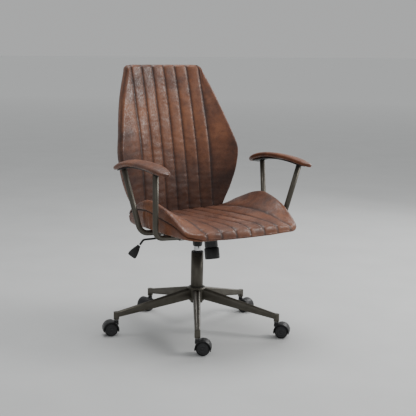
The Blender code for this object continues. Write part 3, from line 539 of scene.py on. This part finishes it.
def make_seat(material):
    """The seat's upholstery: rolled front edge, raised wings and a seam round the sides."""
    panel = Panel(seat_grid())

    def bottom(x, y):
        lobe = abs(x) > SEAT_REAR_CORNER[0][0] and y > 0.025
        return SEAT_LOBE_BOTTOM if lobe else SEAT_BOTTOM

    def roll_at(x, y):
        return min(SEAT_ROLL, 0.60 * (seat_top(x, y) - SEAT_BOTTOM))

    def front(x, y):
        distance, towards = panel.edge(x, y)
        depth, sideways = panel.rolled(distance, roll_at(x, y))
        relief = seat_relief(x, y)
        shift = towards * (-0.35 * relief * sideways)
        straight = math.sqrt(max(1.0 - sideways * sideways, 0.0))
        place = chair(x + shift.x, y + shift.y, seat_top(x, y) - depth - relief * straight)
        return place, seat_shadow(x, y)

    def side(k):
        x, y = panel.rim[k]
        normal = panel.normals[k]
        top, low = seat_top(x, y), bottom(x, y)
        height = top - low
        start = roll_at(x, y)
        seam = max(top - smooth_table(SIDE_SEAM_Z, y), start + 0.002)
        sharp = max(0.0, min(1.0, (height - seam - 0.004) / 0.012)) * min(1.0, abs(normal.x) * 1.6)
        seam = min(seam, height - 0.006)
        relief = seat_relief(x, y)
        run = height - seam
        tuck = 0.008 + 0.007 * abs(normal.y)
        stops = [
            (start, 0.0, 0.0), ((start + seam) / 2.0, 0.0010, 0.0), (seam - 0.0040, 0.0004, 0.0),
            (seam - 0.0018, -0.0030, 0.6), (seam, -0.0060, 1.0), (seam + 0.0018, -0.0036, 0.7),
            (seam + 0.0040, -0.0010, 0.0), (seam + 0.25 * run, 0.0006, 0.0),
            (seam + 0.45 * run, -0.08 * tuck, 0.0), (seam + 0.65 * run, -0.22 * tuck, 0.0),
            (seam + 0.84 * run, -0.50 * tuck, 0.0), (height - 0.0006, -tuck, 0.0),
        ]
        points = []
        last = start
        seam_shadow = seat_shadow(x, y)
        for depth, out, shadow in stops:
            depth = min(max(depth, last + 0.0003), height - 0.0004)
            last = depth
            crease = wrinkle((x, y, depth), (34.0, 34.0, 12.0), 6.1) * 0.0030
            crease += wrinkle((x, y, depth), (85.0, 85.0, 26.0), 2.2) * 0.0014
            lower = 1.0 if depth > seam + 0.002 else 0.25
            fade = max(0.0, 1.0 - (depth - start) / 0.014)
            reach = out * (sharp if shadow > 0.0 else 1.0)
            reach += crease * lower * abs(normal.x) - 0.35 * relief * fade
            place = chair(x + normal.x * reach, y + normal.y * reach, top - depth)
            points.append((place, max(shadow * sharp, seam_shadow * fade)))
        return points

    def under(x, y):
        from_middle = (y - SEAT_UNDER_MIDDLE_Y) * SEAT_UNDER_SCALE
        return chair(x * SEAT_UNDER_SCALE, SEAT_UNDER_MIDDLE_Y + from_middle, bottom(x, y)), 0.0

    return panel.build("seat_upholstery", front, side, under, material)


# ---------------------------------------------------------------- arm pads

PAD_X = 0.2983
PAD_HALF_WIDTH = 0.0270
PAD_THICKNESS = 0.0200
PAD_ROLL_DEG = 10.0
PAD_FRONT_TAPER = 0.085
PAD_REAR_TAPER = 0.067
PAD_LINE = (
    (-0.2799, 0.6333), (-0.1870, 0.6467), (-0.0941, 0.6498), (-0.0012, 0.6422), (0.0917, 0.6138),
)


def pad_station(t):
    """Middle, slope and fullness of the pad at t, from 0 in front to 1 at the rear."""
    front, rear = PAD_LINE[0][0], PAD_LINE[-1][0]
    length = rear - front
    y = front + t * length
    slope = (smooth_table(PAD_LINE, y + 0.004) - smooth_table(PAD_LINE, y - 0.004)) / 0.008
    from_front = min(t * length / PAD_FRONT_TAPER, 1.0)
    from_rear = min((1.0 - t) * length / PAD_REAR_TAPER, 1.0)
    fullness = math.sqrt(1.0 - (1.0 - min(from_front, from_rear)) ** 2)
    return y, smooth_table(PAD_LINE, y), slope, fullness


def pad_ring(side, t, sides):
    y, middle, slope, fullness = pad_station(t)
    roll = math.radians(PAD_ROLL_DEG)
    half_thick = PAD_THICKNESS / 2.0 * (0.35 + 0.65 * fullness)
    ring = []
    for k in range(sides):
        angle = math.tau * (k + 0.5) / sides
        across = math.copysign(abs(math.cos(angle)) ** 0.62, math.cos(angle))
        up = math.copysign(abs(math.sin(angle)) ** 0.78, math.sin(angle))
        low_edge = dip(up + 0.45, 0.16) * min(1.0, fullness * 1.5)
        across *= PAD_HALF_WIDTH * fullness - 0.0016 * low_edge
        up *= half_thick
        if up > 0.0:
            crease = 0.0006 * wrinkle((across, y, 0.0), (40.0, 90.0, 1.0), 9.0 + side)
            up += crease + 0.0012 * wrinkle((across, y, 0.0), (30.0, 12.0, 1.0), 3.0 + side)
        rise = up * math.cos(roll) - across * math.sin(roll)
        x = PAD_X + across * math.cos(roll) + up * math.sin(roll)
        ring.append(chair(side * x, y - slope * rise, middle + rise))
    return ring


def make_arm_pad(label, side, material):
    bm = bmesh.new()
    ends = [0.5 - 0.5 * math.cos(math.pi * t) for t in spread(74, 0.012, 0.988)]
    loft_into(bm, [pad_ring(side, t, 36) for t in ends])
    return subdivided(mesh_object(f"arm_rest_{label}", bm, material))


# ---------------------------------------------------------------- fittings

PAN_HALF_GAP = 0.0004
TUBE_R = 0.0100
TUBE_RUN_Z = 0.3915
CLAMP_X = 0.166
POST_FOOT_Y = (-0.1532, -0.0481)
PLATE_BOTTOM = 0.4002
PLATE_BOLTS = ((-0.074, -0.118), (0.074, -0.118), (-0.074, 0.082), (0.074, 0.082))
LEVER_DROP = Vector((-0.65, 0.0, -0.76)).normalized()
LEVER_GRIP_LENGTH = 0.0490
GRIP_TWIST_DEG = 30.0
GRIP_PROFILE = (
    (0.0, 0.0060, 0.0048), (0.0015, 0.0068, 0.0055), (0.005, 0.0072, 0.0058), (0.010, 0.0090, 0.0068),
    (0.018, 0.0120, 0.0080), (0.028, 0.0148, 0.0086), (0.037, 0.0166, 0.0084), (0.043, 0.0168, 0.0076),
    (0.0465, 0.0160, 0.0066), (0.0483, 0.0140, 0.0050), (LEVER_GRIP_LENGTH, 0.0095, 0.0028),
)


def make_lever_grip(material):
    """Rounded paddle on the lever's end."""
    low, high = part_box("lever_paddle")
    rod_low, rod_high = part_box("lever_rod")
    middle = (low + high) / 2.0
    start = middle - LEVER_DROP * LEVER_GRIP_LENGTH / 2.0
    start.y = (rod_low.y + rod_high.y) / 2.0
    across = Matrix.Rotation(math.radians(GRIP_TWIST_DEG), 3, LEVER_DROP) @ LEVER_DROP.cross((0.0, 1.0, 0.0))
    thick = LEVER_DROP.cross(across)
    bm = bmesh.new()
    rings = []
    for distance, half_width, half_thick in GRIP_PROFILE:
        ring = []
        for k in range(36):
            c, n = math.cos(math.tau * k / 36), math.sin(math.tau * k / 36)
            a = math.copysign(abs(c) ** 0.72, c) * half_width
            b = math.copysign(abs(n) ** 0.72, n) * half_thick
            ring.append(start + LEVER_DROP * distance + across * a + thick * b)
        rings.append(ring)
    loft_into(bm, rings)
    return subdivided(mesh_object("lever_grip", bm, material))


def hex_bolt_into(bm, point, direction, radius=0.0052, height=0.0036):
    """Hexagon head on a thin round washer."""
    place = facing(point, direction)
    washer = [(radius * 1.35, -0.0002), (radius * 1.35, 0.0009), (radius * 1.22, 0.0012)]
    lathe_into(bm, washer, place, 20)
    head = [
        (radius * 0.96, 0.0010), (radius, 0.0014), (radius, height - 0.0004), (radius * 0.90, height),
        (radius * 0.45, height), (radius * 0.40, height - 0.0005),
    ]
    lathe_into(bm, head, place, 6)


def socket_screw_into(bm, point, direction, radius=0.0056):
    """Domed head with a sunk socket."""
    dome = [
        (radius, -0.0003), (radius, 0.0006), (radius * 0.93, 0.0017), (radius * 0.75, 0.0026),
        (radius * 0.52, 0.0030), (radius * 0.42, 0.0029), (radius * 0.38, 0.0012),
    ]
    lathe_into(bm, dome, facing(point, direction), 24)


def clamp_into(bm, x, y):
    """Bent strap that holds an arm tube up against the seat pan, with a bolt through each ear."""
    wrap, ear, half_width, half_thick = TUBE_R + 0.0009, 0.0245, 0.0090, 0.0006
    top = PAN_BOTTOM - PAN_HALF_GAP - half_thick
    path = [(-ear, top), (-wrap - 0.0030, top), (-wrap - 0.0006, top - 0.0024)]
    for k in range(13):
        angle = math.pi + math.pi * k / 12
        path.append((wrap * math.cos(angle), TUBE_RUN_Z + wrap * math.sin(angle)))
    path += [(-a, b) for a, b in reversed(path[:3])]
    rings = []
    for k, (a, b) in enumerate(path):
        before, after = path[max(k - 1, 0)], path[min(k + 1, len(path) - 1)]
        along = Vector((after[0] - before[0], after[1] - before[1])).normalized()
        out = Vector((-along.y, along.x)) * half_thick
        rings.append([
            chair(x + sx * half_width, y + a + sn * out.x, b + sn * out.y)
            for sx, sn in ((-1, -1), (1, -1), (1, 1), (-1, 1))
        ])
    loft_into(bm, rings)
    for sign in (-1.0, 1.0):
        hex_bolt_into(bm, chair(x, y + sign * (ear - 0.0052), top - half_thick), (0.0, 0.0, -1.0), 0.0040)


def make_seat_fixings(material):
    """Straps under the arm tubes and the bolts of the seat plate."""
    bm = bmesh.new()
    for side in (-1.0, 1.0):
        for y in POST_FOOT_Y:
            clamp_into(bm, side * CLAMP_X, y)
    for x, y in PLATE_BOLTS:
        hex_bolt_into(bm, chair(x, y, PLATE_BOTTOM), (0.0, 0.0, -1.0))
    return mesh_object("seat_fixings", bm, material, smooth=False)


def make_back_screws(material):
    """Four domed screws through the flat bar behind the back."""
    low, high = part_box("back_bar")
    top = high.z - ORIGIN.z
    half_thick = 0.003
    bm = bmesh.new()
    slope = (back_front(0.0, 0.600) - back_front(0.0, 0.405)) / 0.195
    out = Vector((0.0, 1.0, -slope)).normalized()
    for drop in (0.022, 0.062):
        z = top - drop
        y = back_front(0.0, 0.600) + BACK_DEPTH + half_thick + 0.0018 - slope * (0.600 - z)
        for x in (-0.016, 0.016):
            socket_screw_into(bm, chair(x, y, z) + out * half_thick, out)
    return mesh_object("back_screws", bm, material)


def wheel_axis(caster, letter):
    """Middle of a wheel, the direction that its outer face looks, and how far out the face is."""
    other = "b" if letter == "a" else "a"
    boxes = [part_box(f"caster_{caster}_wheel_{name}") for name in (letter, other)]
    middles = [(low + high) / 2.0 for low, high in boxes]
    out = (middles[0] - middles[1]).normalized()
    vertices = NODES[f"caster_{caster}_wheel_{letter}"].data.vertices
    reach = max((vertex.co - middles[0]).dot(out) for vertex in vertices)
    return middles[0], out, reach


def make_wheel_cap(caster, letter, material):
    """Ringed cap on a wheel's outer face."""
    middle, out, reach = wheel_axis(caster, letter)
    profile = [
        (0.0196, -0.0006), (0.0196, 0.0004), (0.0188, 0.0010), (0.0166, 0.0011), (0.0161, 0.0005),
        (0.0146, 0.0005), (0.0140, 0.0012), (0.0086, 0.0015), (0.0080, 0.0007), (0.0058, 0.0007),
        (0.0052, 0.0018), (0.0016, 0.0021),
    ]
    bm = bmesh.new()
    lathe_into(bm, profile, facing(middle + out * reach, out), 40)
    return mesh_object(f"caster_{caster}_cap_{letter}", bm, material)


def make_stem_ring(caster, material):
    """Bright collar between the caster's hood and the leg."""
    stem_low, stem_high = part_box(f"caster_{caster}_stem")
    _, hood_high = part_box(f"caster_{caster}_hood")
    middle = (stem_low + stem_high) / 2.0
    profile = [(0.0060, 0.0), (0.0082, 0.0), (0.0086, 0.0004), (0.0086, 0.0013), (0.0080, 0.0018),
               (0.0060, 0.0018)]
    bm = bmesh.new()
    lathe_into(bm, profile, Matrix.Translation((middle.x, middle.y, hood_high.z)), 28)
    return mesh_object(f"caster_{caster}_collar", bm, material)


def make_bush_teeth(material):
    """Toothed rim of the bush, standing just above the column."""
    _, bush_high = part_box("column_bush")
    radius = (COLUMN_HIGH.x - COLUMN_LOW.x) / 2.0 - 0.0004
    teeth = 24
    bm = bmesh.new()
    rings = []
    for z in (COLUMN_HIGH.z + 0.0001, COLUMN_HIGH.z + 0.0006, bush_high.z - 0.0008, bush_high.z - 0.0002):
        edge = 0.0005 if z in (COLUMN_HIGH.z + 0.0001, bush_high.z - 0.0002) else 0.0
        ring = []
        for k in range(teeth * 4):
            reach = radius - edge - (0.0014 if k % 4 in (0, 3) else 0.0)
            angle = math.tau * k / (teeth * 4)
            ring.append(Vector((
                COLUMN_MIDDLE.x + reach * math.cos(angle), COLUMN_MIDDLE.y + reach * math.sin(angle), z,
            )))
        rings.append(ring)
    loft_into(bm, rings)
    return mesh_object("bush_teeth", bm, material, smooth=False)


def make_column_marks(material):
    """Two small pressed marks near the column's top."""
    bm = bmesh.new()
    radius = (COLUMN_HIGH.x - COLUMN_LOW.x) / 2.0
    centre = Vector((COLUMN_MIDDLE.x, COLUMN_MIDDLE.y, COLUMN_HIGH.z - 0.012))
    for degrees in (-137.0, -101.0):
        out = Vector((math.cos(math.radians(degrees)), math.sin(math.radians(degrees)), 0.0))
        mark = [(0.0021, -0.0004), (0.0021, 0.0002), (0.0015, 0.0004), (0.0009, 0.0001)]
        lathe_into(bm, mark, facing(centre + out * radius, out), 16)
    return mesh_object("column_marks", bm, material)


def make_hub_ring(material):
    """Dark ring where the column enters the hub."""
    _, hub_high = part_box("base_hub")
    radius = (COLUMN_HIGH.x - COLUMN_LOW.x) / 2.0
    bm = bmesh.new()
    rings = []
    for k in range(8):
        angle = math.tau * k / 8
        ring_radius = radius + 0.0012 + 0.0011 * math.cos(angle)
        height = hub_high.z + 0.0004 + 0.0010 * math.sin(angle)
        rings.append([
            Vector((COLUMN_MIDDLE.x + ring_radius * math.cos(a), COLUMN_MIDDLE.y + ring_radius * math.sin(a),
                    height)) for a in (math.tau * j / 48 for j in range(48))
        ])
    loft_into(bm, rings + rings[:1], closed_ends=False)
    bmesh.ops.remove_doubles(bm, verts=bm.verts, dist=0.00001)
    return mesh_object("hub_ring", bm, material)


# ---------------------------------------------------------------- materials

class Shader:
    """Builds one material's nodes: a Principled surface with procedural inputs."""

    def __init__(self, name, **fixed):
        self.material = bpy.data.materials.new(name)
        self.material.use_nodes = True
        self.tree = self.material.node_tree
        self.surface = self.tree.nodes["Principled BSDF"]
        for socket, value in fixed.items():
            self.surface.inputs[socket.replace("_", " ")].default_value = value
        self.place = self.tree.nodes.new("ShaderNodeTexCoord").outputs["Object"]

    def node(self, kind, **inputs):
        made = self.tree.nodes.new(kind)
        for socket, value in inputs.items():
            target = made.inputs[socket.replace("_", " ")]
            if isinstance(value, bpy.types.NodeSocket):
                self.tree.links.new(value, target)
            else:
                target.default_value = value
        return made

    def stretched(self, scale):
        return self.node("ShaderNodeMapping", Vector=self.place, Scale=scale).outputs["Vector"]

    def noise(self, scale, detail=4.0, roughness=0.55, distortion=0.0, place=None):
        made = self.node(
            "ShaderNodeTexNoise", Vector=place or self.place, Scale=scale, Detail=detail,
            Roughness=roughness, Distortion=distortion,
        )
        return made.outputs["Fac"]

    def cells(self, scale, feature="F1"):
        made = self.node("ShaderNodeTexVoronoi", Vector=self.place, Scale=scale)
        made.feature = feature
        return made.outputs["Distance"]

    def ramp(self, value, *stops):
        """Colours or grey levels at positions along a value."""
        made = self.node("ShaderNodeValToRGB", Fac=value)
        points = made.color_ramp.elements
        while len(points) < len(stops):
            points.new(0.5)
        for point, (position, colour) in zip(points, stops):
            point.position = position
            point.color = (*colour, 1.0) if isinstance(colour, tuple) else (colour, colour, colour, 1.0)
        return made.outputs["Color"]

    def mix(self, amount, first, second, blend="MIX"):
        made = self.tree.nodes.new("ShaderNodeMix")
        made.data_type = "RGBA"
        made.blend_type = blend
        for socket, value in ((0, amount), (6, first), (7, second)):
            if isinstance(value, bpy.types.NodeSocket):
                self.tree.links.new(value, made.inputs[socket])
            else:
                made.inputs[socket].default_value = value
        return made.outputs[2]

    def bump(self, *layers):
        """Each layer is (height, distance, strength), from the finest to the coarsest."""
        normal = None
        for height, distance, strength in layers:
            made = self.node("ShaderNodeBump", Height=height, Distance=distance, Strength=strength)
            if normal is not None:
                self.tree.links.new(normal, made.inputs["Normal"])
            normal = made.outputs["Normal"]
        self.tree.links.new(normal, self.surface.inputs["Normal"])

    def connect(self, **inputs):
        for socket, value in inputs.items():
            self.tree.links.new(value, self.surface.inputs[socket.replace("_", " ")])
        return self.material


def leather(name):
    """Aged brown leather: mottled dye, pebbled grain, fine creases and a broken waxy gloss."""
    shader = Shader(
        name, Metallic=0.0, Sheen_Weight=0.04, Sheen_Roughness=0.45, Sheen_Tint=(0.90, 0.82, 0.86, 1.0),
        Specular_IOR_Level=0.50, Coat_Weight=0.08, Coat_Roughness=0.30,
    )
    broad = shader.noise(6.5, 5.0, 0.62, 0.4)
    fine = shader.noise(58.0, 4.0, 0.62, 0.2)
    flecks = shader.noise(190.0, 3.0, 0.60)
    dye = shader.ramp(
        broad, (0.32, (0.062, 0.018, 0.007)), (0.50, (0.142, 0.044, 0.015)),
        (0.70, (0.225, 0.078, 0.027)),
    )
    spots = shader.ramp(fine, (0.34, (0.55, 0.50, 0.47)), (0.60, (1.0, 1.0, 1.0)))
    colour = shader.mix(0.60, dye, spots, "MULTIPLY")
    rubbed = shader.ramp(shader.noise(15.0, 6.0, 0.65, 0.6), (0.50, 0.0), (0.74, 0.50))
    colour = shader.mix(rubbed, colour, (0.255, 0.098, 0.042, 1.0))
    # Painted shade: the "crease" layer darkens the colour in seam valleys, folds and grooves, and towards
    # the lower back and the seat's rear, where it is partly patina and partly painted shade.
    seam = shader.tree.nodes.new("ShaderNodeAttribute")
    seam.attribute_name = "crease"
    shade = shader.ramp(seam.outputs["Fac"], (0.0, (1.0, 1.0, 1.0)), (0.85, (0.20, 0.15, 0.13)))
    colour = shader.mix(1.0, colour, shade, "MULTIPLY")
    patches = shader.noise(20.0, 5.0, 0.6, 0.3)
    gloss = shader.mix(0.68, patches, flecks)
    roughness = shader.ramp(gloss, (0.38, 0.29), (0.50, 0.50), (0.61, 0.74))
    creases = shader.ramp(shader.cells(60.0, "DISTANCE_TO_EDGE"), (0.0, 0.0), (0.09, 1.0))
    gathers = shader.noise(150.0, 4.0, 0.60, 0.4, shader.stretched((0.22, 1.3, 1.5)))
    shader.bump(
        (shader.noise(900.0, 2.0, 0.5), 0.00010, 0.30), (shader.cells(520.0), 0.00040, 0.34),
        (flecks, 0.00045, 0.30), (gathers, 0.0007, 0.20), (creases, 0.0003, 0.10),
    )
    return shader.connect(Base_Color=colour, Roughness=roughness)


def painted_metal():
    """Bronze-grey metallic paint with a faint orange peel, a fine flake and uneven tone."""
    shader = Shader("bronze_paint", Metallic=0.55, Specular_IOR_Level=0.5)
    broad = shader.noise(14.0, 4.0, 0.55, 0.3)
    flake = shader.noise(900.0, 2.0, 0.6)
    paint = shader.ramp(broad, (0.35, (0.084, 0.076, 0.060)), (0.68, (0.118, 0.108, 0.088)))
    colour = shader.mix(0.30, paint, shader.ramp(flake, (0.3, 0.35), (0.7, 1.0)), "MULTIPLY")
    roughness = shader.ramp(shader.noise(38.0, 5.0, 0.6, 0.2), (0.35, 0.34), (0.68, 0.50))
    shader.bump((flake, 0.00006, 0.30), (shader.noise(260.0, 3.0, 0.5), 0.00025, 0.28))
    return shader.connect(Base_Color=colour, Roughness=roughness)


def moulded_plastic(name, shade, low_rough, high_rough, grain_scale=620.0):
    """Dark moulded plastic with a fine spark-eroded grain and slight scuffs."""
    shader = Shader(name, Metallic=0.0, Specular_IOR_Level=0.45)
    broad = shader.noise(24.0, 4.0, 0.6, 0.3)
    dark = tuple(c * 0.62 for c in shade)
    colour = shader.ramp(broad, (0.34, dark), (0.66, shade))
    scuffs = shader.noise(70.0, 6.0, 0.7, 1.2, shader.stretched((1.0, 1.0, 3.0)))
    roughness = shader.ramp(scuffs, (0.36, low_rough), (0.68, high_rough))
    shader.bump((shader.cells(grain_scale), 0.00022, 0.32), (shader.noise(160.0, 3.0, 0.5), 0.0002, 0.2))
    return shader.connect(Base_Color=colour, Roughness=roughness)


def metal(name, shade, low_rough, high_rough, brushed=(1.0, 1.0, 1.0), metallic=1.0):
    """Bare or plated metal with faint drawn lines and handling marks."""
    shader = Shader(name, Metallic=metallic, Specular_IOR_Level=0.5)
    lines = shader.noise(320.0, 4.0, 0.6, 0.0, shader.stretched(brushed))
    marks = shader.noise(30.0, 6.0, 0.68, 0.8)
    dull = tuple(c * 0.72 for c in shade)
    colour = shader.ramp(marks, (0.36, dull), (0.62, shade))
    roughness = shader.ramp(marks, (0.35, high_rough), (0.65, low_rough))
    shader.bump((lines, 0.00008, 0.30), (marks, 0.00025, 0.12))
    return shader.connect(Base_Color=colour, Roughness=roughness)


# ---------------------------------------------------------------- the carried-over CAD parts

def finish_cad_parts(finishes):
    """Give every shown CAD node its finish, smooth shading, and softened edges where they catch light."""
    softened = {"base_hub": 0.0012, "tilt_housing": 0.0015, "tension_knob": 0.0010}
    for leg in range(1, 6):
        softened[f"base_leg_{leg}"] = 0.0012
        softened[f"caster_{leg}_hood"] = 0.0008
    slots = {part["node"]: part["material_slot"] for part in frame["record"]["subparts"]}
    for name, node in NODES.items():
        node.data.materials.clear()
        node.data.materials.append(finishes[slots[name]])
        node.data.polygons.foreach_set("use_smooth", [True] * len(node.data.polygons))
        weld = node.modifiers.new("weld", "WELD")
        weld.merge_threshold = 0.00002
        width = softened.get(name)
        if width:
            bevel = node.modifiers.new("soften", "BEVEL")
            bevel.width = width
            bevel.segments = 2
            bevel.limit_method = "ANGLE"
            bevel.angle_limit = math.radians(32.0)


# ---------------------------------------------------------------- light, floor and camera

FLOOR_HALF = 40.0
FLOOR_PALER_FROM = 2.0
FLOOR_PALER_TO = 14.0


def make_floor():
    """Plain pale floor that gets paler away from the chair."""
    bm = bmesh.new()
    corners = [bm.verts.new(ORIGIN + Vector((a * FLOOR_HALF, b * FLOOR_HALF, -ORIGIN.z))) for a, b in
               ((-1, -1), (1, -1), (1, 1), (-1, 1))]
    bm.faces.new(corners)
    shader = Shader("floor_finish", Specular_IOR_Level=0.3)
    length = shader.node("ShaderNodeVectorMath")
    length.operation = "LENGTH"
    shader.tree.links.new(shader.place, length.inputs[0])
    away = shader.node("ShaderNodeMapRange", Value=length.outputs["Value"])
    away.inputs["From Min"].default_value = FLOOR_PALER_FROM
    away.inputs["From Max"].default_value = FLOOR_PALER_TO
    near = shader.ramp(shader.noise(3.0, 4.0, 0.5), (0.3, (0.55, 0.56, 0.56)), (0.7, (0.59, 0.60, 0.60)))
    tone = shader.mix(away.outputs["Result"], near, (0.93, 0.94, 0.94, 1.0))
    rough = shader.ramp(shader.noise(11.0, 4.0, 0.5), (0.3, 0.62), (0.7, 0.75))
    floor = mesh_object("floor", bm, shader.connect(Base_Color=tone, Roughness=rough), smooth=False)


def area_light(name, place, target, size, power, colour=(1.0, 1.0, 1.0)):
    data = bpy.data.lights.new(name, "AREA")
    data.shape = "DISK"
    data.size = size
    data.energy = power
    data.color = colour
    light = bpy.data.objects.new(name, data)
    light.location = place
    light.rotation_mode = "QUATERNION"
    light.rotation_quaternion = (Vector(target) - Vector(place)).to_track_quat("-Z", "Y")
    bpy.context.scene.collection.objects.link(light)


def make_lights():
    middle = chair(0.0, 0.0, 0.55)
    area_light("window", chair(2.5, -1.5, 2.45), middle, 1.7, 78.0, (1.0, 0.985, 0.965))
    area_light("overhead", chair(0.2, 0.4, 3.1), middle, 1.8, 50.0)
    area_light("fill", chair(-2.4, -2.4, 1.6), middle, 2.2, 8.0, (0.96, 0.98, 1.0))
    area_light("edge", chair(2.6, 1.0, 1.5), middle, 1.2, 16.0)
    world = bpy.data.worlds.new("studio")
    world.use_nodes = True
    world.node_tree.nodes["Background"].inputs["Color"].default_value = (0.86, 0.87, 0.87, 1.0)
    world.node_tree.nodes["Background"].inputs["Strength"].default_value = 0.55
    bpy.context.scene.world = world


CAMERA_DISTANCE = 3.5862
CAMERA_HEIGHT = 1.0893
CAMERA_AZIMUTH_DEG = 32.74
CAMERA_PITCH_DEG = 9.96
CAMERA_YAW = 0.0101
CAMERA_ROLL = 0.0209
CAMERA_LENS_MM = 84.87
SENSOR_MM = 36.0


def make_camera():
    data = bpy.data.cameras.new("camera")
    data.lens = CAMERA_LENS_MM
    data.sensor_width = SENSOR_MM
    pitch = math.radians(CAMERA_PITCH_DEG)
    forward = Vector((
        math.sin(CAMERA_YAW) * math.cos(pitch), math.cos(CAMERA_YAW) * math.cos(pitch), -math.sin(pitch),
    ))
    across = Vector((math.cos(CAMERA_YAW), -math.sin(CAMERA_YAW), 0.0))
    up = across.cross(forward)
    right = across * math.cos(CAMERA_ROLL) + up * math.sin(CAMERA_ROLL)
    above = up * math.cos(CAMERA_ROLL) - across * math.sin(CAMERA_ROLL)
    turn = Matrix.Rotation(-math.radians(CAMERA_AZIMUTH_DEG), 3, "Z")
    axes = Matrix((right, above, -forward)).transposed()
    camera = bpy.data.objects.new("camera", data)
    camera.matrix_world = (turn @ axes).to_4x4()
    camera.location = ORIGIN + turn @ Vector((0.0, -CAMERA_DISTANCE, CAMERA_HEIGHT))
    bpy.context.scene.collection.objects.link(camera)
    bpy.context.scene.camera = camera


# ---------------------------------------------------------------- the chair

def put_on(piece, body):
    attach(piece, body)


def dress():
    finishes = {
        "bronze_paint": painted_metal(),
        "black_plastic": moulded_plastic("black_plastic", (0.0085, 0.0085, 0.0092), 0.36, 0.58),
        "black_steel": moulded_plastic("black_steel", (0.012, 0.012, 0.013), 0.30, 0.48, 900.0),
        "chrome": metal("chrome", (0.62, 0.62, 0.63), 0.08, 0.20, (1.0, 1.0, 0.05)),
        "zinc_steel": metal("zinc_steel", (0.46, 0.46, 0.45), 0.30, 0.48),
        "brown_leather": leather("brown_leather"),
        "wheel_cap": moulded_plastic("wheel_cap", (0.022, 0.022, 0.024), 0.40, 0.60),
        "plywood": moulded_plastic("plywood", (0.30, 0.20, 0.12), 0.5, 0.7),
    }
    finish_cad_parts(finishes)
    hide = finishes["brown_leather"]
    back = make_back(hide)
    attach(back, "tilt")
    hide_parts("back_cushion", "back_board")
    seat = make_seat(hide)
    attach(seat, "tilt")
    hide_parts("seat_cushion")
    for label, side in (("right", -1.0), ("left", 1.0)):
        pad = make_arm_pad(label, side, hide)
        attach(pad, "tilt")
        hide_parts(f"arm_pad_{label}")
    steel, plastic = finishes["black_steel"], finishes["black_plastic"]
    grip = make_lever_grip(plastic)
    put_on(grip, "lever")
    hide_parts("lever_paddle")
    put_on(make_seat_fixings(finishes["zinc_steel"]), "tilt")
    put_on(make_back_screws(finishes["zinc_steel"]), "tilt")
    put_on(make_bush_teeth(plastic), "base")
    put_on(make_column_marks(steel), "base")
    put_on(make_hub_ring(plastic), "base")
    for caster in range(1, 6):
        put_on(make_stem_ring(caster, finishes["zinc_steel"]), f"caster_{caster}")
        for letter in ("a", "b"):
            cap = make_wheel_cap(caster, letter, finishes["wheel_cap"])
            put_on(cap, f"caster_{caster}_wheel_{letter}_body")


dress()
make_floor()
make_lights()
make_camera()
